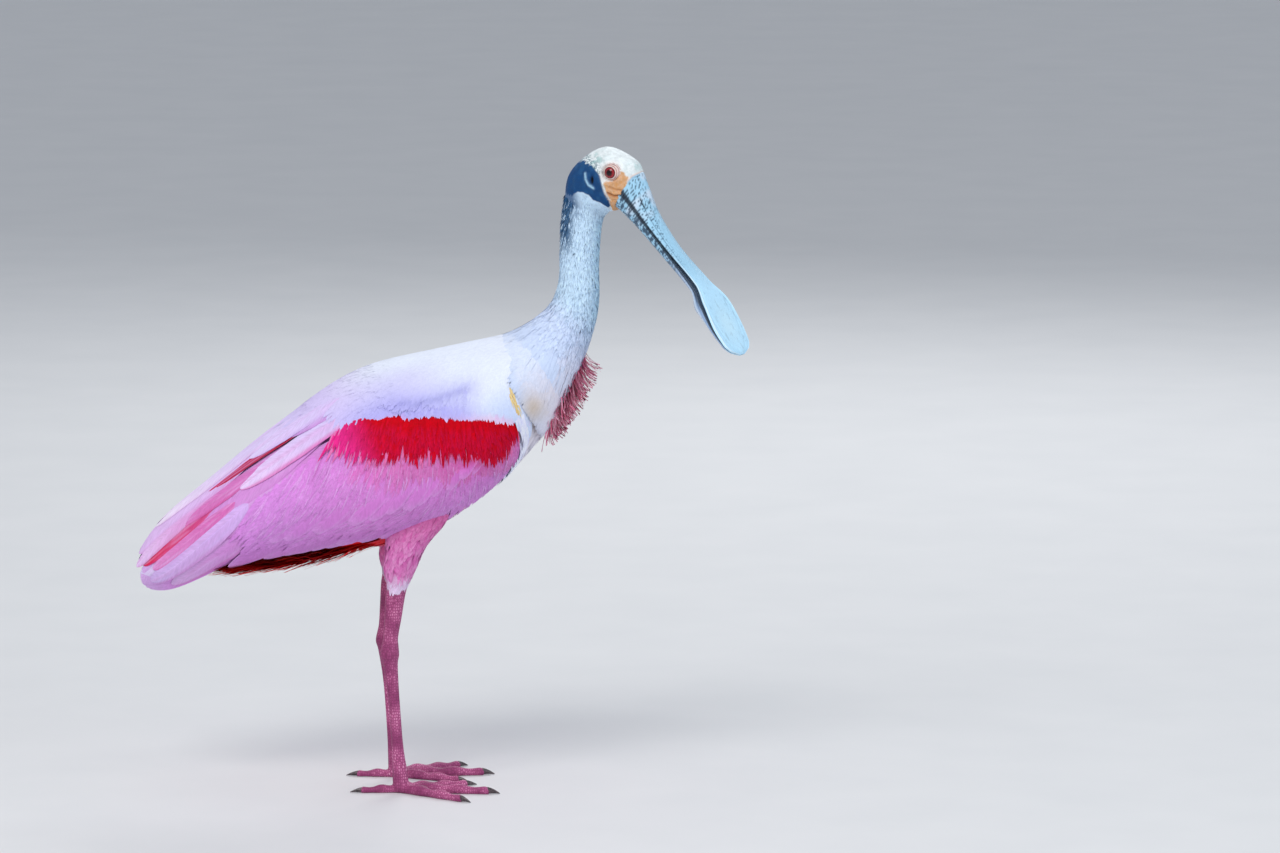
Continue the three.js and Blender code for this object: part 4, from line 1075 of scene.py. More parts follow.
# Colour of the horn: ticks cross the base in rows, between mouth and ridge and all over the lower half.
# Painted shade darkens the groove, the nostril, the lower jaw and the gap of the mouth
def billTint(s, v, side, over):
    p, aside, y = paints, np.abs(v), s * billLong
    fleck = noise(flat3(y, v * 12), 1.4, 21 if over else 22)
    blotch = noise(flat3(y, side), 7.0, 23)
    wandering = 0.8 * np.cos(v * 4) + 1.6 * noise(flat3(y, v * 9), 4.0, 24)
    rows = np.sin(2 * np.pi * (y / bill["tickRows"] + wandering))
    ticks = ease(rows, -0.1, 0.4) * ease(noise(flat3(y * 0.8, v * 26), 1.1, 25), 0.38, 0.5)
    base = layered(
        blend(p.horn, p.hornPale, ease(s, 0.45, 0.7)),
        (p.spoonShine, bump(s - 0.83, 0.1) * bump(v, 0.55) * 0.7),
        (p.hornPink, bump(s - 0.06, 0.1) * ease(blotch, 0.4, 0.7) * 0.7),
    )
    if over:
        inner = mix(0.22, 0.46, ease(s, 0.1, 0.3))
        ticks = ticks * ease(aside, inner, inner + 0.14)
        ticks = ticks * (1 - ease(s, 0.14, 0.5) * 0.6) * fade(s, 0.42, 0.54)
        ticks = ticks + 0.5 * ease(fleck, 0.62, 0.7) * fade(s, 0.1, 0.34) * fade(aside, 0.3, 0.6)
        # painted shade: dark in the groove beside the ridge
        groove = bump(aside - np.interp(s, *bill["groove"]), 0.03) * 0.55
        base = blend(base, p.hornDark, groove * ease(s, 0.12, 0.16) * fade(s, 0.3, 0.6))
        # painted shade: near-black in the nostril's hollow
        base = blend(base, p.nostril, ease(nostrilPit(s, aside, 0.9, 0.8), 0.3, 0.75))
    else:
        # painted shade: the lower jaw darker and greyer blue from its middle to near its tip
        base = blend(base, p.hornLow, 0.8 * ease(s, 0.3, 0.55) * fade(s, 0.93, 1))
        ticks = np.maximum(ticks, ease(fleck, 0.54, 0.64)) * fade(s, 0.36, 0.62)
    scratch = ease(noise(flat3(y * 0.3, side), 1.3, 31), 0.78, 0.86) * ease(s, 0.5, 0.7)
    return layered(
        base,
        (p.hornDark, np.clip(ticks, 0, 1) * 0.9),
        (p.hornDark, scratch * 0.2),
        (p.hornEdge, 0.7 * bump(aside - 0.95, 0.025) * ease(s, 0.35, 0.6)),
        # painted shade: dark line in the gap of the mouth
        (p.mouthDark, 0.92 * ease(aside, 0.985, 0.997) * fade(s, 0.6, 0.78)),
    )


makeBill(True)
makeBill(False)
print("bill ready")

# Legs: rows are x, distance out from the middle, z, half depth, half width, from the thigh to the sole
legs = dict(
    rows=[(24, 30, 262, 21, 12), (21, 31, 232, 22, 13), (11.5, 33, 208, 14, 11.5), (6.5, 33, 190, 10.5, 9),
          (4.9, 33, 178, 8.8, 7.4), (2.4, 33, 166, 8.2, 6.6), (0.4, 33, 148, 7.2, 6),
          (-1.6, 33, 131, 6.2, 5.6), (-2.2, 33, 124, 7, 6.4), (-2.6, 33, 116, 7.9, 7.2),
          (-2, 33, 107, 6.2, 5.6), (0.6, 33, 80, 4.8, 4.2), (3.4, 33, 40, 4.9, 4.3), (5.2, 33, 20, 6, 5.6),
          (6, 33, 8, 6.6, 6.2), (6, 33, 3, 6.2, 6.2)],
    coatRows=[(24, 30, 262, 25, 15), (21, 31, 232, 26, 16), (11.5, 33, 208, 17.5, 14.5),
              (6.5, 33, 190, 14, 11.5), (4.9, 33, 178, 10, 9)],
    forward=dict(right=0, left=-6), foot=(6, 33), voxel=0.0008,
    # direction in degrees from straight ahead toward the outside, length, radius at the root
    toes=dict(inner=(-25, 60, 5), middle=(6, 74, 5.6), outer=(38, 66, 5.2), hind=(176, 33, 4.4)),
    claw=9, webReach=0.38,
)


def legPoint(rows, side, forward, station, degrees):
    r = along(rows, station)
    a = np.radians(degrees)
    x = r[..., 0] + forward + r[..., 3] * np.cos(a)
    return np.stack([x, side * r[..., 1] + r[..., 4] * np.sin(a), r[..., 2] + 0 * a], -1)


# Place on the floor, and a height over it, that lies some way ahead and across from the root of the toes
def footPoint(ahead, side, forward, reach, across, height):
    x = legs["foot"][0] + forward + ahead[0] * reach - ahead[1] * across
    y = side * legs["foot"][1] + ahead[1] * reach + ahead[0] * across
    return np.stack([x, y, height], -1)


def aheadOf(toe, side):
    a = math.radians(toe[0])
    return math.cos(a), side * math.sin(a)


# Toe along the floor: round above, padded and flat beneath, swollen at each joint
def toeRings(toe, side, forward):
    _, length, radius = toe
    joints = 3 if length > 50 else 2
    t, b = spread(np.linspace(-0.04, 1.0, 48), roundTurn(24))
    knuckle = 1 + 0.12 * np.cos(2 * np.pi * joints * t)
    r = radius * mix(1, 0.6, t) * knuckle * np.sqrt(np.clip(1 - ease(t, 0.93, 1.04) ** 2, 0.05, 1))
    height = np.maximum(0, r * 0.72 + r * np.where(np.sin(b) > 0, 1, 0.9) * np.sin(b))
    return footPoint(aheadOf(toe, side), side, forward, length * t, r * np.cos(b), height)


# Claw: tapered cone that curves down from the end of its toe
def clawRings(toe, side, forward):
    _, length, radius = toe
    t, b = spread(np.linspace(0, 1, 14), roundTurn(16))
    r = radius * 0.5 * (1 - 0.88 * t**1.3)
    reach = length - 1.2 + (legs["claw"] + 1.3) * t
    height = np.maximum(0.15, mix(radius * 0.58, 0.7, t**1.7) + r * np.sin(b))
    return footPoint(aheadOf(toe, side), side, forward, reach, r * 0.78 * np.cos(b), height)


# Web between the roots of two toes: a thin slab whose free edge is drawn in
def webRings(first, second, side, forward):
    t, b = spread(np.linspace(0, 1, 12), roundTurn(40))
    s = 0.5 - 0.5 * np.cos(b)
    direction = np.radians(mix(first[0], second[0], s))
    reach = mix(first[1], second[1], s) * legs["webReach"] * (1 - 0.42 * np.sin(np.pi * s)) * t
    z = 2.2 + np.sign(np.sin(b)) * 1.0 * np.sqrt(np.abs(np.sin(b)))
    x = legs["foot"][0] + forward + reach * np.cos(direction)
    y = side * (legs["foot"][1] + reach * np.sin(direction))
    return np.stack([x, y, z], -1)


# Points and faces of several closed tubes in one mesh, each facing outward where outward is asked for
def joined(parts, outward=False):
    points, faces, first = [], [], 0
    for part in parts:
        rings, fans = tubeFaces(*part.shape[:2], first)
        corners = withHubs(part)
        a, b, c = (corners[rings[:, k] - first] for k in range(3))
        inside = outward and np.einsum("ij,ij->", np.cross(a, b), c) <= 0
        faces += [rings[:, ::-1], fans[:, ::-1]] if inside else [rings, fans]
        points.append(corners)
        first += len(corners)
    return np.concatenate(points), faces


def makeLeg(side, name):
    forward, toes = legs["forward"][name], legs["toes"]
    s, d = spread(np.linspace(0, len(legs["rows"]) - 1, 230), np.linspace(0, 360, 48, endpoint=False))
    parts = [legPoint(legs["rows"], side, forward, s, d)]
    parts += [toeRings(toe, side, forward) for toe in toes.values()]
    parts += [webRings(toes["inner"], toes["middle"], side, forward)]
    parts += [webRings(toes["middle"], toes["outer"], side, forward)]
    nodes = [f"{part}_{name}" for part in ("thigh", "shank", "tarsus", "foot")]
    leg = meshFrom(f"leg_{name}", *joined(parts, outward=True), legFinish, "leg_skin", nodes)
    fuse = leg.modifiers.new("fuse", "REMESH")
    fuse.mode, fuse.voxel_size, fuse.use_smooth_shade = "VOXEL", legs["voxel"], True
    even = leg.modifiers.new("even", "SMOOTH")
    even.factor, even.iterations = 0.5, 2
    claws = joined([clawRings(toe, side, forward) for toe in toes.values()])
    meshFrom(f"claws_{name}", *claws, clawFinish, "claw_horn", [f"claw_{toe}_{name}" for toe in toes])


for side, name in bothSides:
    makeLeg(side, name)
print("legs ready")


# Under-layer of one wing: a closed sheet below the feathers, with the wing's own colours a little darker as
# painted shade
bed = dict(stations=60, around=48, depth=(3.2, 4.6), thick=(5, 1.8), top=(30, 6), low=(112, 146))


def makeBed(side, name):
    t, k = spread(np.linspace(0, 1, bed["stations"]), np.linspace(0, 1, bed["around"]))
    soon = np.clip(t * 4, 0, 1)
    w = mix(0.35, 4.5, t)
    d = side * mix(mix(*bed["top"], np.clip(t * 1.6, 0, 1)), mix(*bed["low"], soon), k)
    ground, normal, _, _ = frameOn(wingCoat, w, d)
    depth = mix(*bed["depth"], soon)
    outer = ground - normal * depth[..., None]
    inner = ground - normal * (depth + mix(*bed["thick"], t))[..., None]
    # painted shade: a little darker, as it lies under the feathers
    tone = wingTint(w, d) * 0.92
    ring, tone = (np.concatenate([a, b[:, ::-1]], 1) for a, b in ((outer, inner), (tone, tone)))
    tubePiece(f"wing_under_{name}", ring, bareSkin, "plumage_pink", (f"wing_{name}",), tone)


# Lighter or darker by a share, by values from 0 to 1
def varied(tone, values, amount):
    return tone * (1 + amount * (2 * values - 1))[..., None]


# Flight feathers of one wing in tiers. Roots run from one (station, degrees) to another; reach and fall
# carry the first and last tips on from there, in stations and degrees.
tiers = dict(
    secondaries=dict(count=15, start=(0.6, 108), end=(3.0, 108), reach=(0.95, 1.2), fall=(40, 42),
                     form=dict(width=23, lift=(-5.5, -2.6, -0.2), tilt=0.1, stations=18, ragged=2.0)),
    greaterCoverts=dict(count=16, start=(0.42, 98), end=(2.65, 88), reach=(0.6, 0.98), fall=(27, 32),
                        form=dict(width=21, lift=(-5, -1.6, 0.3), tilt=0.1, stations=16, ragged=1.6)),
    primaries=dict(count=9, start=(3.7, 134), end=(3.8, 60), reach=(1.3, 1.55), fall=(24, -2),
                   form=dict(width=18, lift=(-5.5, -3.6, -1.6), tilt=0.06, stations=20, ragged=1.2,
                             shape=roundVane)),
)
tierForm = dict(shape=broadVane, columns=9, bendBoth=False, thickness=0.7, camber=0.05, vary=0.08,
                uneven=0.05, liftAt=(0, 0.3, 1), spread=0.8, soft=0.35)


def tierColour(spot):
    own = wingTint(spot.rootA + 0.6 * (spot.a - spot.rootA), spot.b)
    tone = varied(blend(wingTint(spot.a, spot.b), own, 0.4), spot.chance[:, 1], 0.04)
    pale = ease(spot.t, 0.8, 1.0) * 0.25 + 0.25 * ease(np.abs(spot.v), 0.75, 1.0)
    return blend(tone, paints.wisp, pale)


def makeTiers(side, name):
    for order, (kind, tier) in enumerate(tiers.items()):
        rng = np.random.default_rng(50 + order + (20 if side > 0 else 0))
        t = np.linspace(0, 1, tier["count"])
        root = mix(np.array(tier["start"]), np.array(tier["end"]), t[:, None])
        root = root + rng.normal(0, 1, root.shape) * (0.015, 0.8)
        reach = mix(*tier["reach"], t) * (1 + 0.04 * rng.normal(0, 1, len(t)))
        tip = root + np.stack([reach, mix(*tier["fall"], t)], -1)
        if kind == "primaries":
            tip[:, 0] = 5.2 + 0.4 * np.sin(np.pi * mix(0.2, 0.9, t))
            tip[:, 1] = mix(158, 66, t) + 2 * rng.normal(0, 1, len(t))
        root, tip = root * (1, side), tip * (1, side)
        form = {**tierForm, **tier["form"], "bend": -3.0 * side + 0 * t}
        form["tilt"] = form["tilt"] * side
        vanes(f"{kind}_{name}", wingCoat, root, tip, form, tierColour, flightFeather, "plumage_pink",
              seed=300 + order)


# Long feathers that cover the folded wing behind, each with root and tip (station, degrees), width, layer
# over the surface, and colours at its root, at its tip and along its lower edge
quills = [
    ((2.3, 18), (5.5, 25), 36, -0.4, (222, 186, 236), (222, 186, 236), (212, 150, 214)),
    ((1.5, 62), (4.3, 86), 38, -0.7, (212, 138, 212), (212, 150, 218), (206, 130, 206)),
    ((2.2, 46), (4.6, 60), 34, -0.8, (212, 142, 214), (212, 146, 214), (206, 130, 206)),
    ((4.1, 84), (5.56, 96), 17, -0.8, (216, 182, 230), (220, 206, 242), (200, 170, 226)),
    ((3.5, 96), (4.92, 140), 24, -0.4, (216, 146, 220), (220, 178, 232), (200, 110, 186)),
    ((3.5, 44), (5.42, 74), 17, -0.2, (206, 74, 134), (222, 36, 76), (214, 60, 120)),
    ((1.9, 37), (4.5, 27.5), 14, 0.4, (182, 12, 62), (204, 40, 104), (170, 10, 50)),
    ((3.45, 57), (5.2, 94), 15, 0.2, (214, 110, 182), (224, 146, 208), (210, 100, 174)),
    ((3.0, 46), (4.85, 50), 17, 0.3, (212, 120, 190), (212, 122, 190), (206, 84, 154)),
    ((3.75, 37), (5.6, 64), 15, 0.4, (218, 156, 214), (228, 196, 238), (214, 140, 196)),
    ((3.35, 66), (5.3, 118), 22, 0.5, (214, 176, 236), (212, 180, 236), (210, 142, 210)),
    ((2.3, 0), (4.7, 1), 24, 0.5, (222, 204, 246), (240, 226, 250), (228, 196, 240)),
    ((2.2, 12), (5.0, 15), 25, 0.6, (222, 206, 247), (246, 234, 252), (230, 190, 236)),
    ((1.5, 25), (3.45, 28), 27, 0.8, (218, 203, 246), (226, 210, 248), (206, 172, 230)),
    ((1.2, 31), (2.95, 34), 24, 0.55, (208, 188, 238), (200, 158, 222), (196, 140, 210)),
    ((1.35, 38), (3.66, 55), 23, 0.7, (214, 200, 244), (230, 206, 246), (218, 96, 178)),
]


quillForm = dict(width=1, shape=quillVane, last=0.999, lift=(-4.2, -1.1, -0.9), liftAt=(0, 0.18, 1),
                 columns=11, stations=26, ragged=0.9, thickness=0.7, camber=0.06, vary=0, liftVary=0,
                 uneven=0.04, spread=0.85, soft=0.35)


def makeQuills(side, name):
    root, tip = (np.array([q[k] for q in quills], float) * (1, side) for k in (0, 1))
    width, layer = (np.array([q[k] for q in quills], float) for k in (2, 3))
    first, last, rim = (np.array([paint(*q[k]) for q in quills]) for k in (4, 5, 6))

    def quillColour(spot):
        which = spot.index
        pale = noise(flat3(spot.v * 7 + 40 * which, spot.t * 5), 1.0, 61)
        rosy = noise(flat3(spot.v * 4 + 30 * which, spot.t * 3), 1.0, 62)
        line = ease(spot.v * side, 0.6, 0.96) * ease(spot.t, 0.2, 0.5)
        return layered(
            blend(first[which], last[which], ease(spot.t, 0.35, 1.0)),
            (paints.wisp, 0.35 * ease(pale, 0.5, 0.8)),
            (rim[which], 0.24 * ease(rosy, 0.5, 0.85) * ease(spot.t, 0.15, 0.5)),
            (rim[which], line * 0.8),
        )

    form = dict(quillForm, scale=width, tilt=0.05 * side, bend=0 * width)
    vanes(f"quills_{name}", wingCoat, root, tip, form, quillColour, flightFeather, "plumage_pink", seed=330,
          extra=layer)


# Soft plumes of the wings, pink over the whole side. Densities and colours take the station and degrees.
def pinkDensity(w, d):
    behind = np.where(w > 2.25, 57, 0) + 15 * (w - 2.7).clip(0)
    top = np.maximum(edgeAt("mantle", w) - 2, behind)
    low = np.interp(w, (0, 1, 2, 3, 3.6), (150, 148, 132, 124, 112))
    inside = ease(d, top, top + 4) * fade(d, low - 6, low + 2)
    return inside * fade(w, 3.1, 3.7) * ease(w - frontEdge(d), 0, 0.1)


def pinkColour(spot):
    tone = blend(wingTint(spot.a, spot.b), wingTint(spot.rootA + 0.25, spot.rootB), 0.3)
    tone = blend(tone, paints.pink, crimsonMask(spot.a, np.abs(spot.b), 3) * 0.7)
    tone = varied(tone, noise(spot.point, 15.0, 71), 0.09)
    tone = varied(tone, spot.chance[:, 1], 0.03)
    pale = 0.3 * spot.chance[:, 2] * ease(spot.t, 0.3, 1.0) * ease(np.abs(spot.v), 0.1, 1.0)
    return blend(tone, paints.wisp, pale)


def wispColour(spot):
    middle = bump(spot.t - 0.6, 0.4)
    pale = (spot.chance[:, 2] > 0.35) * 0.32 * middle
    deep = (spot.chance[:, 2] < 0.3) * 0.35 * middle
    return layered(pinkColour(spot), (paints.wispPale, pale), (paints.wispDeep, deep))


# The crimson band
def bandDensity(w, d):
    top, low = edgeAt("crimsonTop", w), edgeAt("crimsonLow", w)
    ends = ease(w, 0.28, 0.36) * fade(w, 2.2, 2.45)
    return (d > top - 7 - 6 * ease(w, 1.6, 2.0)) * fade(d, low - 27, low - 13) * ends


def plumeColour(spot):
    red = blend(paints.crimson, paints.rearPink, ease(spot.a, 1.9, 2.4))
    red = varied(red, spot.chance[:, 1], 0.12)
    low = edgeAt("crimsonLow", spot.rootA)
    light = 0.4 * ease(np.abs(spot.rootB), low - 36, low - 18) + 0.35 * ease(spot.rootA, 1.75, 2.3)
    light = (spot.chance[:, 2] < 0.05 + light) * ease(spot.t, 0.25, 0.6)
    return layered(red, (paints.plumeLight, light * 0.85), (paints.rearPink, 0.15 * ease(spot.t, 0.6, 1.0)))


# White over back and shoulder
def mantleDensity(w, d):
    behind = np.where(d > 26, ease(w, 1.9, 2.2), ease(w, 2.5, 2.8))
    return (d < edgeAt("mantle", w) - 6) * (1 - behind) * (w > -0.5 + 0.55 * ease(d, 30, 70))


def mantleReach(w, d):
    room = (edgeAt("mantle", w + 0.15) + 3 - d) * 1.1
    room = room + 3 * ease(w, 1.5, 1.8)
    return np.where((w > 0.2) & (w < 2.3), np.clip(room, 9, 29), 29)


def whiteColour(spot):
    here = wingTint(spot.a, np.minimum(np.abs(spot.b), edgeAt("mantle", spot.a) - 3))
    tone = blend(wingTint(spot.rootA + 0.15, spot.rootB), here, 0.75)
    top = edgeAt("crimsonTop", spot.a)
    inBand = ease(np.abs(spot.b), top - 4, top + 3) * (spot.a > 0.35) * (spot.a < 2.4)
    return blend(varied(tone, spot.chance[:, 1], 0.012), paints.bandOver, inBand * 0.5)


def overFold(w, d):
    fold = np.interp(w, *np.array(wingEdges["fold"]).T)
    return 1.1 * fade(d, fold - 16, fold - 8) * bump(w - 1.15, 0.5) - 0.55 * ease(w, 2.1, 2.5)


plumeForm = dict(flow=wingFlow, stations=6, thickness=0.35, camber=0.05, liftVary=0.2, soft=0.85,
                 shape=softVane)
# where the roots lie (count, low end, high end, seed, density), the looks (colour, finish, slot), and the
# functions that raise the vanes over the rest and give their length
plumes = dict(
    coverts=dict(roots=(1750, (0.25, 40), (3.7, 152), 11, pinkDensity),
                 looks=(pinkColour, pinkFeather, "plumage_pink"),
                 form=dict(width=6.2, length=36, lift=(-3.2, -0.4, 0.25), ragged=4, vary=0.3, stray=5, curl=5,
                           soft=0.88)),
    wisps=dict(roots=(420, (0.25, 40), (3.7, 152), 14, pinkDensity),
               looks=(wispColour, pinkFeather, "plumage_pink"),
               form=dict(width=1.3, length=32, lift=(-2.0, 0.2, 0.45), vary=0.5, stray=6, curl=8, columns=2,
                         soft=0.9, shape=pointedVane)),
    plumes=dict(roots=(1500, (0.25, 44), (2.5, 140), 12, bandDensity),
                looks=(plumeColour, pinkFeather, "plumage_pink"),
                form=dict(width=2.8, length=20, lift=(-2.2, 0.5, 0.9), liftVary=0.3, ragged=8, vary=0.4,
                          stray=5, curl=8, columns=2)),
    mantle=dict(roots=(2000, (-0.5, -3), (2.8, 118), 13, mantleDensity),
                looks=(whiteColour, bodyFeather, "plumage_white"), raised=overFold, reach=mantleReach,
                form=dict(width=7.0, lift=(-2.8, 0.4, 0.6), liftVary=0.12, ragged=4, vary=0.25, stray=4,
                          curl=4, thickness=0.28, stations=5, soft=0.92)),
)


def makePlumes(side, name):
    for label, kind in plumes.items():
        seed = kind["roots"][3]
        root = scatter(wingCoat, *kind["roots"]) * (1, side)
        w, d = root[:, 0], np.abs(root[:, 1])
        form = {**plumeForm, **kind["form"], "sink": 8 * fade(w, -0.5, 0.0)}
        if "reach" in kind:
            form["length"] = kind["reach"](w, d)
        extra = kind["raised"](w, d) if "raised" in kind else None
        vanes(f"{label}_{name}", wingCoat, root, None, form, *kind["looks"], seed=400 + seed, extra=extra)


# Pale rim along the front edge of the wing, with a few golden plumes above it
rimPlumes = dict(pale=170, golden=30, degrees=(92, 164), goldenDegrees=(76, 100), goldenRows=(0.18, 0.215))


def makeRim(side, name):
    rng = np.random.default_rng(440)
    pale, golden = rimPlumes["pale"], rimPlumes["golden"]
    d = rng.uniform(*rimPlumes["degrees"], pale)
    w = frontEdge(d) - 0.09 + rng.normal(0, 0.025, pale)
    near, far = rimPlumes["goldenRows"]
    goldenW = np.where(np.arange(golden) % 2, near, far) + rng.normal(0, 0.006, golden)
    goldenD = rng.uniform(*rimPlumes["goldenDegrees"], golden)
    root = np.stack([np.concatenate([w, goldenW]), np.concatenate([d, goldenD])], -1) * (1, side)
    isGolden = np.arange(len(root)) >= pale

    def rimFlow(w, degrees):
        return np.interp(np.abs(degrees), (96, 125, 140, 170), (80, 76, 60, 50))

    def rimColour(spot):
        gold = blend(paints.gold, paints.goldPale, spot.chance[:, 2])
        pale = blend(paints.rimShade, paints.rimLight, spot.chance[:, 2])
        return blend(pale, gold, isGolden[spot.index] * 1.0)

    form = dict(flow=rimFlow, length=np.where(isGolden, 11, 25), width=3.4, scale=np.where(isGolden, 0.42, 1),
                sink=np.where(isGolden, 0, 6), shape=pointedVane, lift=(-1.5, 0.9, 0.6), liftVary=0.2,
                ragged=3, columns=2, stations=6, soft=0.85)
    vanes(f"rim_{name}", wingCoat, root, None, form, rimColour, bodyFeather, "plumage_white", seed=441)


for side, name in bothSides:
    makeBed(side, name)
    makeTiers(side, name)
    makeQuills(side, name)
    makePlumes(side, name)
    makeRim(side, name)
print("wings ready")


# Feathers of the body. Densities and flows take the station along the body and degrees from the back.
def bodyDensity(u, d):
    underWings = 1 - 0.8 * ease(-np.abs(d), -40, -25) * fade(u, 3.4, 3.8)
    return underWings * (1 + 1.2 * ease(u, 3.0, 4.0))


def bodyColour(spot):
    tone = varied(bodyTint(spot.rootA, spot.rootB), spot.chance[:, 1], 0.02)
    grey = (spot.chance[:, 2] > 0.8) * ease(spot.rootA, 3.0, 3.8) * ease(spot.t, 0.3, 0.8)
    return blend(tone, paints.bodyGrey, 0.3 * grey)


def bodyFlow(u, degrees):
    return 180 - 14 * np.sin(np.radians(np.abs(degrees)))


def backward(u, degrees):
    return 180 + 0 * u


def makeFeathers():
    root = scatter(bodyCoat, 2500, low=(0.1, -180), high=(5.2, 180), seed=21, density=bodyDensity)
    form = dict(flow=bodyFlow, length=24, width=7.6, scale=1 - 0.4 * ease(root[:, 0], 3.4, 4.6),
                shape=softVane, lift=(-3, -0.8, 0.1), ragged=4, vary=0.3, stray=5, curl=5, liftVary=0.2,
                stand=0.2, soft=0.92, camber=0.03)
    vanes("feathers_body", bodyCoat, root, None, form, bodyColour, bodyFeather, "plumage_white", seed=501)


# Cape: feathers of the neck's base that lie over the front edge of the wings
def capeDensity(u, d):
    return ease(u, 4.04, 4.2) * fade(u, 4.8, 5.2) * fade(np.abs(d), 138, 158)


def capeColour(spot):
    buff = bump(np.abs(spot.b) - 108, 15) * bump(spot.a - 3.95, 0.2)
    over = blend(paints.cape, paints.breast, 0.7 * ease(np.abs(spot.b), 96, 140))
    over = blend(over, paints.capeBuff, 0.9 * buff)
    reaching = ease(spot.t, 0.2, 0.95) * fade(spot.a, 4.0, 4.6)
    return varied(blend(bodyTint(spot.rootA, spot.rootB), over, reaching), spot.chance[:, 1], 0.02)


def makeCape():
    root = scatter(bodyCoat, 1500, low=(4.0, -180), high=(5.25, 180), seed=26, density=capeDensity)
    form = dict(flow=bodyFlow, length=np.clip((root[:, 0] - 3.74) * 50, 12, 34), width=4.4, shape=softVane,
                lift=(-3.5, 0.2, 0.9), stations=7, columns=2, ragged=3, thickness=0.28, vary=0.3, curl=6,
                liftVary=0.25, soft=0.9, camber=0.03)
    over = 4.9 * bump(np.abs(root[:, 1]) - 94, 58) * fade(root[:, 0], 4.35, 4.75)
    vanes("cape", bodyCoat, root, None, form, capeColour, bodyFeather, "plumage_white", seed=504, extra=over)


# Down of the neck, thin at its lower end, none on the bare skin of the head, dark along the nape
def downDensity(u, d):
    straight = straightBody(u, d)
    x, z = straight[..., 0], straight[..., 2]
    bare = (insideBy(x, z, marks["navy"]) > 1.0) | (insideBy(x, z, marks["orange"]) > -1.5)
    throat = (np.abs(d) > 96) * (u < 9.3) * (x < 186)
    head = np.where(bare, 0.0, np.maximum(throat * 1.6, (u < 8.45) * 1.0))
    return np.where(u < 8.2, mix(0.35, 1.0, ease(u, 4.7, 5.3)), head)


def neckColour(spot):
    tone = bodyTint(spot.rootA, spot.rootB)
    tone = blend(tone, headTint(straightBody(spot.a, spot.b)), ease(spot.a, 7.9, 8.3))
    tone = varied(tone, spot.chance[:, 1], 0.07)
    # painted shade and light: each strand darker at its root, most on the upper neck, and a little lighter
    # toward its tip
    rootShade = mix(0.97, 0.88, ease(spot.rootA, 5.0, 6.0))
    tone = tone * mix(rootShade, 1.05, ease(spot.t, 0.15, 0.9))[..., None]
    patchy = ease(noise(spot.point, 5.0, 41), 0.3, 0.7)
    dark = (spot.chance[:, 3] > 0.93 - 0.12 * patchy) * bump(spot.t - 0.6, 0.18) * ease(spot.rootA, 4.9, 5.6)
    pale = spot.chance[:, 2] <= mix(0.5, 0.25, ease(spot.rootA, 7.2, 8.0))
    nape = ease(spot.rootA, 6.9, 7.7) * fade(np.abs(spot.rootB), 45, 85) * ~pale
    return layered(tone, (paints.speck, dark * 0.7), (paints.napeDark, nape * 0.92))


def makeDown(name, count, low, high):
    root = scatter(bodyCoat, count, low=(low, -180), high=(high, 180), seed=22, density=downDensity)
    rng = np.random.default_rng(23)
    small = 1 - 0.35 * ease(root[:, 0], 8.0, 8.6)
    wide = 1 + 0.8 * fade(root[:, 0], 4.8, 5.8)
    form = dict(flow=backward, length=rng.uniform(6.5, 9.5, len(root)) * small * wide, width=2.3,
                scale=small * wide, shape=pointedVane, lift=(-1.6, -0.35, 0.2), liftVary=0.2, stray=14,
                columns=2, vary=0.3, camber=0.0, soft=0.88, sink=1.6 * ease(root[:, 0], 7.8, 8.6),
                stand=0.4 + 1.0 * ease(root[:, 0], 6.8, 7.6) * (np.abs(root[:, 1]) < 50))
    vanes(name, bodyCoat, root, None, form, neckColour, softDown, "plumage_neck", seed=502)


# Tuft of the breast: long strands that run down and curve away from the body, crimson with pale edges that
# are painted highlight
def tuftDensity(u, d):
    fromFront = np.abs(np.abs(d) - 180)
    wide = mix(27, 13, ease(u, 4.5, 5.3))
    inside = np.exp(-((fromFront / wide) ** 2)) * (fromFront < 1.7 * wide)
    return inside * ease(u, 4.0, 4.3) * fade(u, 5.1, 5.35)


def tuftColour(spot):
    tone = blend(paints.tuftDeep, paints.tuftLight, spot.chance[:, 0] * 0.9)
    tone = varied(tone, spot.chance[:, 1], 0.2)
    # painted highlight: pale along the edges of each strand, more along one side; a few strands are paler all
    # through as their own colour
    white = (spot.chance[:, 2] > 0.85) * 0.5 + 0.65 * ease(np.abs(spot.v - 0.25), 0.3, 1.1)
    return blend(tone, paints.tuftPale, np.clip(white, 0, 0.9) * ease(spot.t, 0.1, 0.5))


def makeTuft():
    root = scatter(bodyCoat, 800, low=(3.9, -180), high=(5.4, 180), seed=24, density=tuftDensity)
    rng = np.random.default_rng(25)
    full = 0.55 + 0.45 * fade(root[:, 0], 4.8, 5.3)
    twist = rng.uniform(0.1, 0.6, len(root)) * rng.choice((-1, 1), len(root))
    form = dict(flow=backward, length=rng.uniform(17, 29, len(root)) * full, width=2.5, scale=full,
                shape=pointedVane, lift=(-2.5, 1.0, 2.2), stray=12, curl=24, stations=8, ragged=1.5,
                thickness=0.5, vary=0.4, liftVary=0.8, camber=0.1, soft=0.4, tilt=twist[:, None, None],
                blow=(12.5, 0, 0.5))
    vanes("tuft_breast", bodyCoat, root, None, form, tuftColour, pinkFeather, "plumage_neck", seed=503)


makeFeathers()
makeCape()
makeDown("down_neck", 4000, 4.7, 6.6)
makeDown("down_nape", 4100, 6.55, 9.4)
makeTuft()
print("body coat ready")


# Feathers of the thighs, over the upper rows of each leg, with a pale cuff
def thighDensity(s, d):
    return 1 + ease(s, 2, 3)


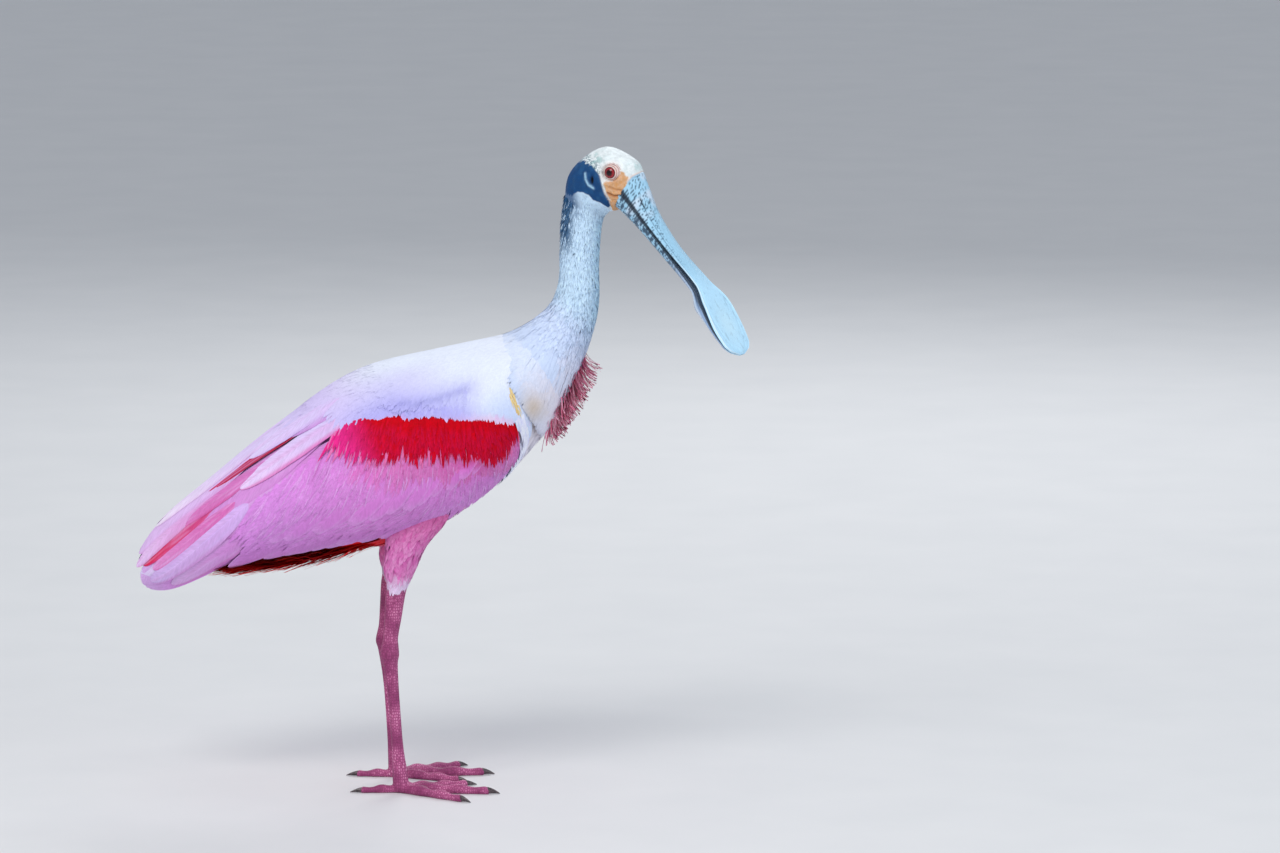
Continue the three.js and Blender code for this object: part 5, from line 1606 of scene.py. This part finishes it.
def thighColour(spot):
    tone = blend(paints.thigh, paints.thighPale, spot.chance[:, 2] * ease(spot.t, 0.2, 0.8))
    tone = blend(tone, paints.thighTop, 0.6 * fade(spot.rootA, 0.4, 1.9))
    tone = varied(tone, spot.chance[:, 1], 0.06)
    return blend(tone, paints.cuff, 0.85 * ease(spot.rootA, 2.75, 3.3) * ease(spot.t, 0.25, 0.7))


def alongFirst(a, b):
    return 0 * a


def makeThigh(side, name):
    forward = legs["forward"][name]
    coat = dict(point=lambda s, d: legPoint(legs["coatRows"], side, forward, s, d), sign=1,
                low=(-0.3, -180), high=(4.5, 180))
    root = scatter(coat, 1200, low=(0.0, -180), high=(3.5, 180), seed=31, density=thighDensity)
    length = np.random.default_rng(32).uniform(11, 17, len(root))
    form = dict(flow=alongFirst, length=length, width=4.8, shape=softVane, lift=(-2.0, -0.4, 0.1), stations=6,
                columns=2, ragged=3, thickness=0.35, vary=0.3, stray=7, curl=6, liftVary=0.1, stand=0.1,
                soft=0.92, camber=0.03)
    label = f"feathers_thigh_{name}"
    vanes(label, coat, root, None, form, thighColour, pinkFeather, "plumage_pink", seed=601)


for side, name in bothSides:
    makeThigh(side, name)
print("thighs ready")

# Tail: sheets from a line of roots to a line of tips (x, z), arched by crown; aside is in mm from the middle
tail = dict(root=(-122, 225), tip=(-177, 194), crown=2.5, feathers=12, rootHalf=12, tipHalf=16)
# of each sheet of coverts: sheet (root, tip, side, crown), half width, length, depth of its layers in mm
tailCoverts = dict(
    uppertail_coverts=dict(count=90, sheet=((-104, 254), (-156, 216), 1, 3.5), half=15, length=20, deep=1,
                           colours=(paints.rearPink, paints.crimson)),
    undertail_coverts=dict(count=750, sheet=((-22, 200), (-150, 179), -1, 5.0), half=24, length=26, deep=9,
                           colours=(paints.undertail, paints.undertailLight)),
)


def sheetCoat(root, tip, sign, crown):
    def point(share, aside):
        x = mix(root[0], tip[0], share)
        arched = sign * crown * np.sin(np.pi * np.clip(share, 0, 1)) - sign * aside**2 / 180
        return np.stack([x, aside + 0 * share, mix(root[1], tip[1], share) + arched], -1)
    return dict(point=point, sign=-sign, low=(-1, -60), high=(2, 60))


def tailColour(spot):
    tone = varied(paints.tawny, spot.chance[:, 1], 0.1)
    tone = blend(tone, paints.tailEdge, 0.6 * bump(np.abs(spot.v) - 0.86, 0.1))
    return blend(tone, paints.tailTip, 0.6 * ease(spot.t, 0.85, 1.0))


def makeTail():
    i = np.arange(tail["feathers"])
    aside = np.where(i % 2, 1, -1) * (i + 1) / tail["feathers"]
    root = np.stack([0 * aside, aside * tail["rootHalf"]], -1)
    tip = np.stack([1 - 0.08 * aside**2, aside * tail["tipHalf"]], -1)
    form = dict(width=15, shape=broadVane, lift=(0, 0, 0), stations=16, columns=9, ragged=1.5, thickness=0.5,
                vary=0.05, camber=0.05, uneven=0.04, liftVary=0, soft=0.3)
    coat = sheetCoat(tail["root"], tail["tip"], 1, tail["crown"])
    vanes("tail_feathers", coat, root, tip, form, tailColour, flightFeather, "plumage_tail", seed=701,
          replaces=("tail",), extra=-0.75 * i)


def makeTailCoverts(order, name, given):
    def covertColour(spot):
        return varied(blend(*given["colours"], spot.chance[:, 0] ** 2), spot.chance[:, 1], 0.25)

    count = given["count"]
    rng = np.random.default_rng(710 + order)
    root = np.stack([rng.uniform(-0.12, 0.84, count), rng.uniform(-1, 1, count) * given["half"]], -1)
    length = given["length"] * rng.uniform(0.7, 1.25, count)
    form = dict(flow=alongFirst, length=length, width=5, shape=softVane, lift=(-4, -0.4, 0.8), liftVary=0.8,
                stations=6, columns=2, ragged=4, thickness=0.4, vary=0.4, stray=9, curl=10, stand=3.0,
                soft=0.6)
    coat = sheetCoat(*given["sheet"])
    vanes(name, coat, root, None, form, covertColour, pinkFeather, "plumage_tail", seed=720 + order,
          extra=-rng.uniform(0, given["deep"], count))


makeTail()
for order, (name, given) in enumerate(tailCoverts.items()):
    makeTailCoverts(order, name, given)
print("tail ready")

# Camera: a long lens about six metres away, a little above the bird as in the photograph. Numbers of the
# photograph are in its pixels: the maker's x of 0 and the ground lie at originX and groundY.
photo = dict(mmPerPixel=0.83, width=1280, height=853, originX=393, groundY=787, elevation=8.5, distance=6000,
             sensor=36)


def makeCamera():
    tiltUp = math.radians(photo["elevation"])
    ahead = (photo["width"] / 2 - photo["originX"]) * photo["mmPerPixel"]
    high = (photo["groundY"] - photo["height"] / 2) * photo["mmPerPixel"] / math.cos(tiltUp)
    back = np.array([0, -math.cos(tiltUp), math.sin(tiltUp)]) * photo["distance"]
    data = bpy.data.cameras.new("camera")
    data.sensor_width = photo["sensor"]
    data.lens = photo["sensor"] * photo["distance"] / (photo["mmPerPixel"] * photo["width"])
    data.clip_end = 100
    camera = place(data, "camera")
    camera.location = (np.array([ahead, 0, high]) + back + shift) / 1000
    camera.rotation_euler = (math.radians(90) - tiltUp, 0, 0)
    bpy.context.scene.camera = camera


# Lights: place and target in m, watts, size in m, colour
lights = dict(
    key=((-1.1, -2.2, 2.6), (0, 0, 0.3), 62, 1.6, (1.0, 0.98, 0.95)),
    fill=((2.2, -1.6, 1.1), (0, 0, 0.3), 20, 1.8, (0.9, 0.95, 1.0)),
    rim=((0.6, 2.4, 1.9), (0, 0, 0.35), 26, 1.4, (1.0, 1.0, 1.0)),
)
studio = dict(sky=(0.86, 0.91, 1.0, 1), strength=0.55, floor=((0.66, 0.67, 0.68, 1), (0.72, 0.725, 0.73, 1)),
              reach=14.0)


def makeLight(name, where, target, power, size, colour):
    data = bpy.data.lights.new(name, "AREA")
    data.energy, data.size, data.color = power, size, colour
    light = place(data, name)
    light.location = where
    aim = np.array(target) - np.array(where)
    light.rotation_euler = (math.atan2(math.hypot(aim[0], aim[1]), -aim[2]), 0, math.atan2(-aim[0], aim[1]))


def makeStage():
    material, tree, shader = newMaterial("paleFloor", 0.85)
    tone = blended(tree, clouds(tree, objectPlace(tree), 9.0, 3.0), *studio["floor"])
    tree.links.new(tone, shader["Base Color"])
    mesh = bpy.data.meshes.new("floor")
    corners = [(a * studio["reach"], b * studio["reach"], 0) for a, b in ((-1, -1), (1, -1), (1, 1), (-1, 1))]
    mesh.from_pydata(corners, [], [(0, 1, 2, 3)])
    mesh.materials.append(material)
    place(mesh, "floor")
    world = bpy.data.worlds.new("studio")
    world.use_nodes = True
    sky = world.node_tree.nodes["Background"].inputs
    sky["Color"].default_value, sky["Strength"].default_value = studio["sky"], studio["strength"]
    bpy.context.scene.world = world
    bpy.context.scene.view_settings.view_transform = "Standard"
    for name, given in lights.items():
        makeLight(name, *given)


makeCamera()
makeStage()
print("camera and lights ready")
